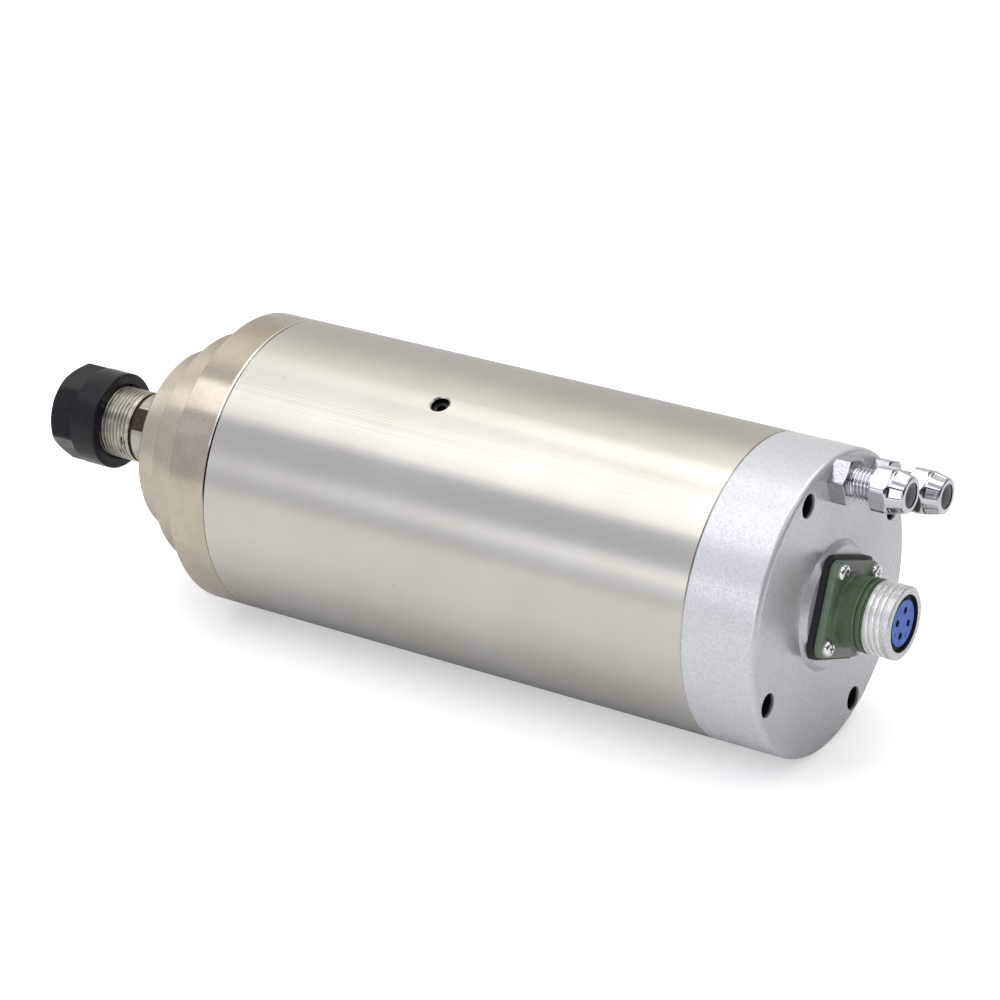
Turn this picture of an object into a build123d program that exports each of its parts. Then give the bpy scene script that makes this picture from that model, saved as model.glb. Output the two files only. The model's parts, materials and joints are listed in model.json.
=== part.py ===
from build123d import *
import os
from math import cos, radians, sin, tan

# A water cooled motor spindle, lying on its round body. The spindle axis is X, the nose points to -X and
# +Z is up. The origin is on the axis, where the front flange meets the sleeve. Millimetres.

# The housing, front to back
body_radius = 50.0
sleeve_length = 181.5
sleeve_wall = 2.5
flange_length = 14.7
step_length = 14.2
flange_ledge = 9.6  # how far the flange stands out past the step
cap_length = 12.7
cap_radius = 31.8
cover_length = 25.4
cover_rim_round = 1.8
cover_floor = 8.0
cover_shell_wall = 16.0
seam_chamfer = 0.35
rest_roll = 20.8  # the body lies rolled back by this much, in degrees

# The cooling jacket between sleeve and stator
jacket_fit = 0.05
jacket_wall = 9.95
channel_count = 7
channel_land = 6.0
channel_start = 24.0
channel_setback = 23.5
channel_depth = 5.0
seal_section = 1.3
seal_setback = 17.0
seal_groove_width = 3.1
link_overlap = 1.0

# The electric motor
stator_bore = 22.5
stack_start = 36.0
end_room = 25.0  # between the stack and the rear bearing
air_gap = 0.4
slot_count = 18
slot_width = 4.6
back_iron = 4.4
slot_lip = 1.6
slot_mouth = 1.8
slot_liner = 0.25
end_turn_length = 16.0
end_turn_gap = 2.5
end_turn_overhang = 1.5
end_turn_round_share = 0.25
cage_bar_count = 14
cage_bar_radius = 1.7
cage_ring_length = 8.0
cage_ring_wall = 6.8
cage_ring_setback = 0.5
bar_cover = 1.0

# The shaft
nose_radius = 12.5
nose_reach = 45.4  # how far the shaft stands out of the bearing cap
thread_length = 25.9
relief_width = 1.0
relief_depth = 0.8
nose_chamfer = 0.6
shoulder_length = 9.5
spanner_flat_width = 23.4
spanner_flat_angle = 143.5
shoulder_radius = 15.4
rotor_seat_radius = 12.3
tail_setback = 4.5
tail_chamfer = 0.5
taper_lead = 1.0
taper_drill_radius = 5.0
taper_drill_length = 12.0
taper_drill_point = 3.0

# Bearings, with their bores and outsides as radii
front_bore = 12.5
front_outer = 23.5
front_width = 12.0
front_ball = 3.0
front_balls = 13
rear_bore = 10.0
rear_outer = 21.0
rear_width = 12.0
rear_ball = 3.2
rear_balls = 9
rear_bearing_setback = 20.5
ball_play = 0.04
ring_share = 0.3  # how much of the ball each ring covers
cage_share = 0.32
pilot_length = 1.5
seat_fit = 0.02
shaft_gap = 0.3
locknut_length = 8.0
locknut_radius = 18.0
locknut_slot = 4.0
circlip_thickness = 1.2
circlip_width = 2.1
circlip_depth = 0.5
circlip_mouth = 4.0

# The seats in the front housing, the bearing cap and the rear bearing plate
spigot_length = 8.0
spigot_wall = 5.5
bearing_lip = 3.0
lip_thickness = 5.0
cap_spigot_wall = 3.5
cap_lip = 4.0
hub_wall = 5.0
web_thickness = 10.0
window_count = 3
window_margin = 0.8
spring_space = 1.6
spring_strip = 0.6
spring_depth = 3.2
spring_play = 0.3

# The collet and its nut
taper_angle = 8.0
collet_radius = 10.5
collet_length = 31.5
collet_bore = 4.0
collet_head = 2.0
collet_groove_start = 3.0
collet_groove_end = 5.0
collet_groove_depth = 1.2
collet_recess = 0.5
collet_slits = 6
slit_width = 0.8
slit_bridge = 5.5
slit_turn = 7.5  # how the collet happens to stand in its taper, in degrees
taper_fit = 0.03
cone_fit = 0.15
nut_radius = 17.0
nut_length = 20.5
nut_flats = 30.0
nut_flat_length = 10.0
nut_front_radius = 15.1
nut_turned = 11.0  # the hexagon's corner angle where the nut stands tight
thread_fit = 0.1
lip_play = 0.3
nut_edge = 0.5
nut_thread_lead = 0.9
nut_front_slope = 0.9

# Screws
bolt_radius = 2.0
bolt_head_radius = 3.5
bolt_head_length = 4.0
bolt_hex = 3.0
bolt_grip = 11.0
pan_radius = 1.5
pan_head_radius = 2.75
pan_head_length = 2.0
pan_head_round = 1.2
pan_grip = 6.0
cross_width = 0.7
cross_reach = 2.8
cross_depth = 1.0
screw_fit = 0.1
head_play = 0.5
tap_room = 1.0
cover_bolt_inset = 6.0
cover_bolt_sink = 14.0
flange_bolt_inset = 5.5
flange_bolt_sink = 5.0
cap_bolt_inset = 4.2
cap_bolt_count = 6
cap_bolt_sink = 4.5
set_screw_radius = 3.0
set_screw_place = 74.6
set_screw_angle = 135.0
set_screw_sink = 2.2
set_screw_hex_depth = 3.0
set_screw_chamfer = 0.5

# The connector on the rear cover
boss_radius = 21.4
boss_top_radius = 19.6
boss_height = 2.0
gasket_side = 33.0
gasket_thickness = 2.0
gasket_corner = 4.5
plate_side = 30.8
plate_thickness = 2.5
plate_corner = 3.5
plate_screw_spacing = 23.8
barrel_radius = 11.6
barrel_length = 9.9
collar_radius = 12.0
collar_length = 3.9
collar_groove_width = 0.8
collar_groove_depth = 0.8
ring_radius = 11.86
ring_length = 9.0
ring_bore = 9.2
ring_edge = 0.5
liner_bore = 7.6
liner_setback = 1.4
insert_radius = 7.5
insert_setback = 0.6
socket_circle = 8.1
socket_radius = 1.25
socket_count = 4
socket_depth = 7.0
socket_setback = 1.5
socket_wall = 0.43
solder_cup_length = 3.0
cable_hole = 10.5

# The motor leads, from the connector to the winding
lead_radius = 0.9
lead_bend = 3.0
lead_turn_place = 8.5
earth_lead_reach = 20.0

# The two hose fittings on the rear cover
fitting_spacing = 27.4
fitting_inset = 9.9
fitting_hex = 14.0
fitting_hex_length = 5.7
fitting_turns = (10.0, 0.0)  # how the two hexagons happen to stand when tight
fitting_thread_radius = 5.0
fitting_thread_length = 7.7
fitting_thread_hidden = 3.0
fitting_foot_radius = 4.8
fitting_foot_length = 8.0
fitting_foot_room = 1.0
stem_radius = 2.9
stem_bore = 1.9
stem_setback = 0.4
barb_length = 2.4
barb_height = 0.4
hose_nut_length = 11.4
hose_nut_flats = 14.0
hose_nut_hex_length = 5.2
hose_nut_turns = (3.0, 0.0)
hose_nut_corner_cut = 0.7
hose_nut_edge = 0.6
hose_nut_lip = 0.4
hose_nut_shoulder_radius = 7.0
hose_nut_shoulder_length = 0.9
hose_nut_nose_radius = 5.8
hose_nut_flute_depth = 0.35
hose_nut_flute_start = 0.6
hose_nut_seat_length = 0.4
hose_bore = 4.0
hose_land = 4.0
water_hole = 2.5

# What follows from the sizes above
step_radius = body_radius - flange_ledge
jacket_radius = body_radius - sleeve_wall - jacket_fit
stator_radius = jacket_radius - jacket_wall
channel_run = sleeve_length - channel_start - channel_setback
channel_width = (channel_run - (channel_count - 1) * channel_land) / channel_count
slot_depth = stator_radius - back_iron - stator_bore - slot_lip
cover_bolt_circle = 2 * (body_radius - cover_bolt_inset)
flange_bolt_circle = 2 * (body_radius - flange_bolt_inset)
cap_bolt_circle = 2 * (cap_radius - cap_bolt_inset)
hub_radius = rear_outer + hub_wall

# The ends of the main pieces along X
flange_front = -flange_length
step_front = flange_front - step_length
cap_front = step_front - cap_length
tail_end = sleeve_length - tail_setback
spring_bore = rear_outer - spring_depth
cover_front = sleeve_length
cover_back = sleeve_length + cover_length
shaft_nose = cap_front - nose_reach
front_bearing_start = step_front + pilot_length
front_bearing_end = front_bearing_start + 2 * front_width
rear_bearing_start = sleeve_length - rear_bearing_setback
rear_bearing_end = rear_bearing_start + rear_width
stack_length = rear_bearing_start - end_room - stack_start
stack_end = stack_start + stack_length
winding_end = stack_end + end_turn_gap + end_turn_length
collet_front = shaft_nose - collet_groove_end - nose_chamfer
nut_front = collet_front - collet_recess


def facing_back(x):
    """The plane across the axis at x, seen from behind, with its y along the rolled body's own up."""
    roll = radians(rest_roll)
    return Plane(origin=(x, 0, 0), x_dir=(0, cos(roll), -sin(roll)), z_dir=(1, 0, 0))


def facing_front(x):
    """The same plane, looking out to the nose."""
    roll = radians(rest_roll)
    return Plane(origin=(x, 0, 0), x_dir=(0, cos(roll), -sin(roll)), z_dir=(-1, 0, 0))


def across(x, angle=0.0):
    """The plane across the axis at x, its x turned by an angle from +Y towards +Z."""
    turn = radians(angle)
    return Plane(origin=(x, 0, 0), x_dir=(0, cos(turn), sin(turn)), z_dir=(1, 0, 0))


def save(piece, name):
    piece.label = name
    export_step(piece, f"parts/{name}.step")


def turned(points):
    """A piece turned about the spindle axis, from its half section as (x, radius) points."""
    with BuildPart() as piece:
        with BuildSketch(Plane.XZ):
            with BuildLine():
                Polyline(*points, close=True)
            make_face()
        revolve(axis=Axis.X)
    return piece.part


def socket_screws(circle, count, plane, length, first=45.0):
    """Socket head screws on a circle; their heads stand on the plane and the shanks go down from it."""
    with BuildPart() as screws:
        for radius, amount in ((bolt_head_radius, bolt_head_length), (bolt_radius, -length)):
            with BuildSketch(plane):
                with PolarLocations(circle / 2, count, start_angle=first):
                    Circle(radius)
            extrude(amount=amount)
        with BuildSketch(plane.offset(bolt_head_length)):
            with PolarLocations(circle / 2, count, start_angle=first):
                RegularPolygon(bolt_hex / 2, 6, major_radius=False)
        extrude(amount=-bolt_head_length / 2, mode=Mode.SUBTRACT)
    return screws.part


def bearing_ring(inner, start, bore, outer, width, ball):
    """One ring of a ball bearing, with the groove that its balls run in."""
    pitch = (bore + outer) / 2
    cover = ball * (1 - ring_share)
    low, high = (bore, pitch - cover) if inner else (pitch + cover, outer - seat_fit)
    middle = start + width / 2
    with BuildPart() as ring:
        with BuildSketch(Plane.XZ):
            with Locations((middle, (low + high) / 2)):
                Rectangle(width, high - low)
            with Locations((middle, pitch)):
                Circle(ball + ball_play, mode=Mode.SUBTRACT)
        revolve(axis=Axis.X)
    return ring.part


def bearing_balls(starts, bore, outer, width, ball, count):
    """The balls of one or more equal bearings."""
    planes = [across(start + width / 2) for start in starts]
    with BuildPart(*planes) as balls:
        with PolarLocations((bore + outer) / 2, count):
            Sphere(ball)
    return balls.part


def bearing_cage(start, bore, outer, width, ball, count):
    """The cage that keeps the balls of one bearing apart."""
    pitch = (bore + outer) / 2
    half = ball * cage_share
    middle = start + width / 2
    with BuildPart() as cage:
        with BuildSketch(across(middle - ball - half)):
            Circle(pitch + half)
            Circle(pitch - half, mode=Mode.SUBTRACT)
        extrude(amount=2 * (ball + half))
        for index in range(count):
            turn = radians(360 * index / count)
            pocket = Plane(origin=(middle, 0, 0), x_dir=(1, 0, 0), z_dir=(0, cos(turn), sin(turn)))
            with BuildSketch(pocket):
                Circle(ball + 3 * ball_play)
            extrude(amount=outer, mode=Mode.SUBTRACT)
    return cage.part


os.makedirs("parts", exist_ok=True)

# Sleeve: the ground steel tube, with the hole that reaches the stator's set screw
set_screw_plane = Plane(
    origin=(set_screw_place, 0, 0),
    x_dir=(1, 0, 0),
    z_dir=(
        0,
        cos(radians(set_screw_angle - rest_roll)),
        sin(radians(set_screw_angle - rest_roll)),
    ),
)
with BuildPart() as sleeve:
    with BuildSketch(Plane.YZ):
        Circle(body_radius)
        Circle(body_radius - sleeve_wall, mode=Mode.SUBTRACT)
    extrude(amount=sleeve_length)
    rims = sleeve.edges().filter_by(GeomType.CIRCLE)
    chamfer([e for e in rims if e.radius > body_radius - seam_chamfer], length=seam_chamfer)
    with BuildSketch(set_screw_plane):
        Circle(set_screw_radius + screw_fit)
    extrude(amount=body_radius + set_screw_radius, mode=Mode.SUBTRACT)
    with BuildSketch(set_screw_plane.offset(body_radius - set_screw_chamfer)):
        Circle(set_screw_radius + screw_fit)
    extrude(amount=2 * set_screw_chamfer, taper=-45, mode=Mode.SUBTRACT)
save(sleeve.part, "sleeve")

# Cooling jacket: a tube whose outside carries ring channels, joined in turn on opposite sides
seal_places = (seal_setback, sleeve_length - seal_setback)
seal_ring_radius = body_radius - sleeve_wall - seal_section
fitting_height = body_radius - fitting_inset
fitting_places = [(-fitting_spacing / 2, fitting_height), (fitting_spacing / 2, fitting_height)]
channel_pitch = channel_width + channel_land
with BuildPart() as jacket:
    with BuildSketch(Plane.YZ):
        Circle(jacket_radius)
        Circle(stator_radius, mode=Mode.SUBTRACT)
    extrude(amount=sleeve_length)
    with BuildSketch(Plane.XZ):
        for index in range(channel_count):
            middle = channel_start + channel_width / 2 + index * channel_pitch
            with Locations((middle, jacket_radius)):
                Rectangle(channel_width, 2 * channel_depth)
        for place in seal_places:
            with Locations((place, jacket_radius)):
                Rectangle(seal_groove_width, 2 * (jacket_radius - seal_ring_radius + seal_section))
    revolve(axis=Axis.X, mode=Mode.SUBTRACT)
    for index in range(channel_count - 1):
        link_start = channel_start + channel_width + index * channel_pitch - link_overlap
        side = 1 if index % 2 else -1
        with BuildSketch(facing_back(link_start)):
            with Locations((0, side * jacket_radius)):
                Rectangle(channel_width, 2 * channel_depth)
        extrude(amount=channel_land + 2 * link_overlap, mode=Mode.SUBTRACT)
    with BuildSketch(facing_back(sleeve_length)):
        with Locations(*fitting_places):
            Circle(water_hole)
    extrude(amount=-channel_setback - link_overlap, mode=Mode.SUBTRACT)
    with BuildSketch(facing_back(sleeve_length)):
        with PolarLocations(cover_bolt_circle / 2, 4, start_angle=45):
            Circle(bolt_radius + screw_fit)
    extrude(amount=-bolt_grip - tap_room, mode=Mode.SUBTRACT)
    with BuildSketch(facing_front(0)):
        with PolarLocations(flange_bolt_circle / 2, 4, start_angle=45):
            Circle(bolt_radius + screw_fit)
    extrude(amount=-bolt_grip - tap_room, mode=Mode.SUBTRACT)
    with BuildSketch(set_screw_plane):
        Circle(set_screw_radius + screw_fit)
    extrude(amount=body_radius, mode=Mode.SUBTRACT)
save(jacket.part, "water_jacket")

# The two O-rings that seal the jacket's ends against the sleeve
for name, place in zip(("front_seal_ring", "rear_seal_ring"), seal_places):
    with BuildPart() as seal:
        with BuildSketch(Plane.XZ):
            with Locations((place, seal_ring_radius)):
                Circle(seal_section - seat_fit)
        revolve(axis=Axis.X)
    save(seal.part, name)

# Front housing: flange and step, with the seat of the front bearing pair
spigot_radius = stator_radius - jacket_fit
spigot_bore = stator_radius - spigot_wall
lip_bore = front_outer - bearing_lip
lip_end = front_bearing_end + lip_thickness
front_housing_ring = turned([
    (step_front, front_outer), (step_front, step_radius - seam_chamfer),
    (step_front + seam_chamfer, step_radius), (flange_front, step_radius),
    (flange_front, body_radius - seam_chamfer), (flange_front + seam_chamfer, body_radius),
    (-seam_chamfer, body_radius), (0, body_radius - seam_chamfer),
    (0, spigot_radius), (spigot_length, spigot_radius), (spigot_length, spigot_bore),
    (lip_end, (spigot_bore + front_outer) / 2), (lip_end, lip_bore), (front_bearing_end, lip_bore),
    (front_bearing_end, front_outer),
])
with BuildPart() as front_housing:
    add(front_housing_ring)
    with BuildSketch(facing_front(flange_front)):
        with PolarLocations(flange_bolt_circle / 2, 4, start_angle=45):
            Circle(bolt_head_radius + screw_fit)
    extrude(amount=-flange_bolt_sink, mode=Mode.SUBTRACT)
    with BuildSketch(facing_front(flange_front)):
        with PolarLocations(flange_bolt_circle / 2, 4, start_angle=45):
            Circle(bolt_radius + screw_fit)
    extrude(amount=-flange_length, mode=Mode.SUBTRACT)
    with BuildSketch(facing_front(step_front)):
        with PolarLocations(cap_bolt_circle / 2, cap_bolt_count):
            Circle(bolt_radius + screw_fit)
    extrude(amount=-bolt_grip - tap_room, mode=Mode.SUBTRACT)
save(front_housing.part, "front_housing")

front_screws = socket_screws(
    flange_bolt_circle, 4, facing_front(flange_front + flange_bolt_sink),
    flange_length - flange_bolt_sink + bolt_grip,
)
save(front_screws, "front_screws")

# Bearing cap: the smallest step of the nose, which holds the front bearings in
cap_cavity = shoulder_radius + 2 * shaft_gap
cap_ring = turned([
    (cap_front, nose_radius + shaft_gap), (cap_front, cap_radius - 2 * seam_chamfer),
    (cap_front + 2 * seam_chamfer, cap_radius), (step_front, cap_radius),
    (step_front, front_outer - seat_fit), (front_bearing_start, front_outer - seat_fit),
    (front_bearing_start, front_outer - cap_spigot_wall), (step_front, front_outer - cap_spigot_wall),
    (step_front, cap_cavity), (cap_front + cap_lip, cap_cavity),
    (cap_front + cap_lip, nose_radius + shaft_gap),
])
with BuildPart() as bearing_cap:
    add(cap_ring)
    for radius, depth in ((bolt_head_radius, cap_bolt_sink), (bolt_radius, cap_length)):
        with BuildSketch(facing_front(cap_front)):
            with PolarLocations(cap_bolt_circle / 2, cap_bolt_count):
                Circle(radius + screw_fit)
        extrude(amount=-depth, mode=Mode.SUBTRACT)
save(bearing_cap.part, "bearing_cap")

cap_screws = socket_screws(
    cap_bolt_circle, cap_bolt_count, facing_front(cap_front + cap_bolt_sink),
    cap_length - cap_bolt_sink + bolt_grip, first=0,
)
save(cap_screws, "cap_screws")

# Shaft: threaded nose with a taper for the collet, bearing seats, rotor seat and tail
relief_front = shaft_nose + thread_length
shoulder_front = front_bearing_start - shoulder_length
rotor_seat_start = front_bearing_end + locknut_length + shaft_gap
taper_slope = tan(radians(taper_angle))
taper_end = shaft_nose + collet_length
taper_mouth_radius = collet_radius + taper_fit
taper_end_radius = taper_mouth_radius - collet_length * taper_slope
circlip_groove = rear_bore - circlip_depth
shaft_body = turned([
    (shaft_nose, 0), (shaft_nose, nose_radius - nose_chamfer), (shaft_nose + nose_chamfer, nose_radius),
    (relief_front, nose_radius), (relief_front, nose_radius - relief_depth),
    (relief_front + relief_width, nose_radius - relief_depth),
    (relief_front + relief_width, nose_radius), (shoulder_front, nose_radius),
    (shoulder_front, shoulder_radius), (front_bearing_start, shoulder_radius),
    (front_bearing_start, front_bore - seat_fit), (rotor_seat_start, front_bore - seat_fit),
    (rotor_seat_start, rotor_seat_radius), (rear_bearing_start, rotor_seat_radius),
    (rear_bearing_start, rear_bore - seat_fit), (rear_bearing_end, rear_bore - seat_fit),
    (rear_bearing_end, circlip_groove), (rear_bearing_end + circlip_thickness, circlip_groove),
    (rear_bearing_end + circlip_thickness, rear_bore - seat_fit),
    (tail_end - tail_chamfer, rear_bore - seat_fit), (tail_end, rear_bore - tail_chamfer), (tail_end, 0),
])
drill_end = taper_end + taper_drill_length
taper_socket = turned([
    (shaft_nose - taper_lead, 0), (shaft_nose - taper_lead, taper_mouth_radius + taper_lead * taper_slope),
    (taper_end, taper_end_radius), (taper_end, taper_drill_radius),
    (drill_end, taper_drill_radius), (drill_end + taper_drill_point, 0),
])
with BuildPart() as shaft:
    add(shaft_body)
    add(taper_socket, mode=Mode.SUBTRACT)
    flat_start = relief_front + relief_width + nose_chamfer
    with BuildSketch(across(flat_start, spanner_flat_angle)):
        for side in (-1, 1):
            with Locations((side * (spanner_flat_width / 2 + nose_radius / 2), 0)):
                Rectangle(nose_radius, 2 * nose_radius)
    extrude(amount=cap_front + cap_lip / 2 - flat_start, mode=Mode.SUBTRACT)
save(shaft.part, "shaft")

# Locknut that clamps the front bearings' inner rings, with four hook spanner slots
with BuildPart() as locknut:
    with BuildSketch(across(front_bearing_end)):
        Circle(locknut_radius)
        Circle(front_bore, mode=Mode.SUBTRACT)
        with PolarLocations(locknut_radius, 4):
            Rectangle(locknut_slot, locknut_slot, mode=Mode.SUBTRACT)
    extrude(amount=locknut_length)
save(locknut.part, "bearing_locknut")

# Bearings: an equal pair in the nose, and one at the tail
front_starts = (front_bearing_start, front_bearing_start + front_width)
for inner, name in ((True, "front_bearing_inner_rings"), (False, "front_bearing_outer_rings")):
    with BuildPart() as rings:
        for start in front_starts:
            add(bearing_ring(inner, start + seat_fit, front_bore, front_outer, front_width - 2 * seat_fit,
                             front_ball))
    save(rings.part, name)
front_ball_set = bearing_balls(front_starts, front_bore, front_outer, front_width, front_ball, front_balls)
save(front_ball_set, "front_bearing_balls")
with BuildPart() as front_cages:
    for start in front_starts:
        add(bearing_cage(start, front_bore, front_outer, front_width, front_ball, front_balls))
save(front_cages.part, "front_bearing_cages")

for inner, name in ((True, "rear_bearing_inner_ring"), (False, "rear_bearing_outer_ring")):
    save(bearing_ring(inner, rear_bearing_start, rear_bore, rear_outer, rear_width, rear_ball), name)
rear_ball_set = bearing_balls((rear_bearing_start,), rear_bore, rear_outer, rear_width, rear_ball, rear_balls)
save(rear_ball_set, "rear_bearing_balls")
rear_cage = bearing_cage(rear_bearing_start, rear_bore, rear_outer, rear_width, rear_ball, rear_balls)
save(rear_cage, "rear_bearing_cage")

# Retaining ring behind the rear bearing, open at its lugs
with BuildPart() as circlip:
    with BuildSketch(across(rear_bearing_end)):
        Circle(circlip_groove + circlip_width)
        Circle(circlip_groove, mode=Mode.SUBTRACT)
        with Locations((0, circlip_groove)):
            Rectangle(circlip_mouth, 3 * circlip_width, mode=Mode.SUBTRACT)
    extrude(amount=circlip_thickness)
save(circlip.part, "shaft_circlip")

# Stator: the slotted core and its winding
slot_floor = stator_bore + slot_lip + slot_depth
slot_middle = stator_bore + slot_lip + slot_depth / 2
with BuildPart() as stator_core:
    with BuildSketch(across(stack_start)):
        Circle(stator_radius - jacket_fit)
        Circle(stator_bore, mode=Mode.SUBTRACT)
        with PolarLocations(slot_middle, slot_count):
            Rectangle(slot_depth, slot_width, mode=Mode.SUBTRACT)
        with PolarLocations(stator_bore + slot_lip / 2, slot_count):
            Rectangle(2 * slot_lip, slot_mouth, mode=Mode.SUBTRACT)
    extrude(amount=stack_length)
save(stator_core.part, "stator_core")

winding_inner = stator_bore + slot_lip + slot_liner
winding_outer = slot_floor - slot_liner + end_turn_overhang
end_turn_round = end_turn_round_share * (winding_outer - winding_inner)
with BuildPart() as winding:
    with BuildSketch(across(stack_start - end_turn_gap)):
        with PolarLocations(slot_middle, slot_count):
            Rectangle(slot_depth - 2 * slot_liner, slot_width - 2 * slot_liner)
    extrude(amount=stack_length + 2 * end_turn_gap)
    with BuildSketch(Plane.XZ):
        for side, edge in ((-1, stack_start - end_turn_gap), (1, stack_end + end_turn_gap)):
            with Locations((edge + side * end_turn_length / 2, (winding_inner + winding_outer) / 2)):
                RectangleRounded(end_turn_length, winding_outer - winding_inner, end_turn_round)
    revolve(axis=Axis.X)
save(winding.part, "stator_winding")

# Rotor: the pressed core and its cast cage of bars and end rings
rotor_radius = stator_bore - air_gap
bar_circle = 2 * (rotor_radius - cage_bar_radius - bar_cover)
with BuildPart() as rotor_core:
    with BuildSketch(across(stack_start)):
        Circle(rotor_radius)
        Circle(rotor_seat_radius + seat_fit, mode=Mode.SUBTRACT)
        with PolarLocations(bar_circle / 2, cage_bar_count):
            Circle(cage_bar_radius, mode=Mode.SUBTRACT)
    extrude(amount=stack_length)
save(rotor_core.part, "rotor_core")

with BuildPart() as cage:
    with BuildSketch(across(stack_start - seat_fit)):
        with PolarLocations(bar_circle / 2, cage_bar_count):
            Circle(cage_bar_radius - seat_fit)
    extrude(amount=stack_length + 2 * seat_fit)
    for start in (stack_start - seat_fit - cage_ring_length, stack_end + seat_fit):
        with BuildSketch(across(start)):
            Circle(rotor_radius - cage_ring_setback)
            Circle(rotor_radius - cage_ring_wall, mode=Mode.SUBTRACT)
        extrude(amount=cage_ring_length)
save(cage.part, "rotor_cage")

# Rear bearing plate: a hub on a web, held between the jacket and the rear cover
web_start = cover_front - web_thickness
cover_cavity = body_radius - cover_shell_wall
spring_end = rear_bearing_end + spring_space
plate_bore = (circlip_groove + circlip_width + spring_bore) / 2
plate_ring = turned([
    (rear_bearing_start, rear_outer), (rear_bearing_start, hub_radius), (web_start, hub_radius),
    (web_start, spigot_radius), (cover_front, spigot_radius),
    (cover_front, plate_bore), (spring_end, plate_bore), (spring_end, rear_outer),
])
with BuildPart() as rear_plate:
    add(plate_ring)
    with BuildSketch(facing_back(cover_front)):
        with PolarLocations((hub_radius + cover_cavity) / 2, window_count, start_angle=90):
            Circle((cover_cavity - hub_radius) / 2 - window_margin)
    extrude(amount=-(cover_front - web_start), mode=Mode.SUBTRACT)
save(rear_plate.part, "rear_bearing_plate")

# Disc spring that preloads the rear bearing's outer ring
preload_spring = turned([
    (rear_bearing_end, rear_outer - spring_play), (rear_bearing_end + spring_strip, rear_outer - spring_play),
    (spring_end, spring_bore), (spring_end - spring_strip, spring_bore),
])
save(preload_spring, "preload_spring")

# Rear cover: a cast cup with the connector's boss, two water ways and four deep bolt holes
shell_hole_places = [
    (side * plate_screw_spacing / 2, end * plate_screw_spacing / 2) for side in (-1, 1) for end in (-1, 1)
]
cover_shell = turned([
    (cover_front, cover_cavity), (cover_front, body_radius - seam_chamfer),
    (cover_front + seam_chamfer, body_radius), (cover_back, body_radius), (cover_back, boss_radius),
    (cover_back + boss_height, boss_top_radius), (cover_back + boss_height, cable_hole),
    (cover_back - cover_floor, cable_hole), (cover_back - cover_floor, cover_cavity),
])
with BuildPart() as rear_cover:
    add(cover_shell)
    rims = rear_cover.edges().filter_by(GeomType.CIRCLE).sort_by(SortBy.RADIUS)[-2:]
    fillet(rims.sort_by(Axis.X)[-1], radius=cover_rim_round)
    with BuildSketch(facing_back(cover_back)):
        with PolarLocations(cover_bolt_circle / 2, 4, start_angle=45):
            Circle(bolt_head_radius + head_play)
    extrude(amount=-cover_bolt_sink - bolt_head_length, mode=Mode.SUBTRACT)
    with BuildSketch(facing_back(cover_back)):
        with PolarLocations(cover_bolt_circle / 2, 4, start_angle=45):
            Circle(bolt_radius + screw_fit)
    extrude(amount=-cover_length, mode=Mode.SUBTRACT)
    with BuildSketch(facing_back(cover_back)):
        with Locations(*fitting_places):
            Circle(fitting_foot_radius + screw_fit)
    extrude(amount=-fitting_foot_length - fitting_foot_room, mode=Mode.SUBTRACT)
    with BuildSketch(facing_back(cover_back)):
        with Locations(*fitting_places):
            Circle(water_hole)
    extrude(amount=-cover_length, mode=Mode.SUBTRACT)
    with BuildSketch(facing_back(cover_back + boss_height)):
        with Locations(*shell_hole_places):
            Circle(pan_radius + screw_fit)
    extrude(amount=-boss_height - cover_floor, mode=Mode.SUBTRACT)
save(rear_cover.part, "rear_cover")

cover_screws = socket_screws(
    cover_bolt_circle, 4, facing_back(cover_back - cover_bolt_sink - bolt_head_length),
    cover_length - cover_bolt_sink - bolt_head_length + bolt_grip,
)
save(cover_screws, "cover_screws")

# Set screw that keeps the stator from turning
with BuildPart() as set_screw:
    with BuildSketch(set_screw_plane.offset(stator_radius)):
        Circle(set_screw_radius)
    extrude(amount=body_radius - set_screw_sink - stator_radius)
    with BuildSketch(set_screw_plane.offset(body_radius - set_screw_sink)):
        RegularPolygon(bolt_hex / 2, 6, major_radius=False)
    extrude(amount=-set_screw_hex_depth, mode=Mode.SUBTRACT)
save(set_screw.part, "stator_set_screw")

# Connector: gasket, metal shell with its coupling ring, liner, insert, contacts and screws
boss_top = cover_back + boss_height
gasket_top = boss_top + gasket_thickness
plate_top = gasket_top + plate_thickness
barrel_top = plate_top + barrel_length
shell_top = barrel_top + ring_length
with BuildPart() as gasket:
    with BuildSketch(facing_back(boss_top)):
        RectangleRounded(gasket_side, gasket_side, gasket_corner)
        Circle(cable_hole, mode=Mode.SUBTRACT)
        with Locations(*shell_hole_places):
            Circle(pan_radius + screw_fit, mode=Mode.SUBTRACT)
    extrude(amount=gasket_thickness)
save(gasket.part, "connector_gasket")

collar_start = barrel_top - collar_length
collar_root = collar_radius - collar_groove_depth
collar_land = collar_length / 2 - collar_groove_width
shell_barrel = turned([
    (gasket_top, ring_bore), (gasket_top, barrel_radius), (collar_start, barrel_radius),
    (collar_start, collar_radius), (collar_start + collar_land, collar_radius),
    (collar_start + collar_land, collar_root),
    (collar_start + collar_length / 2, collar_root), (collar_start + collar_length / 2, collar_radius),
    (barrel_top - collar_groove_width, collar_radius), (barrel_top - collar_groove_width, collar_root),
    (barrel_top, collar_root), (barrel_top, ring_radius), (shell_top - ring_edge, ring_radius),
    (shell_top, ring_radius - ring_edge), (shell_top, ring_bore),
])
with BuildPart() as shell:
    with BuildSketch(facing_back(gasket_top)):
        RectangleRounded(plate_side, plate_side, plate_corner)
        Circle(ring_bore, mode=Mode.SUBTRACT)
        with Locations(*shell_hole_places):
            Circle(pan_radius + screw_fit, mode=Mode.SUBTRACT)
    extrude(amount=plate_thickness)
    add(shell_barrel)
save(shell.part, "connector_shell")

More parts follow.
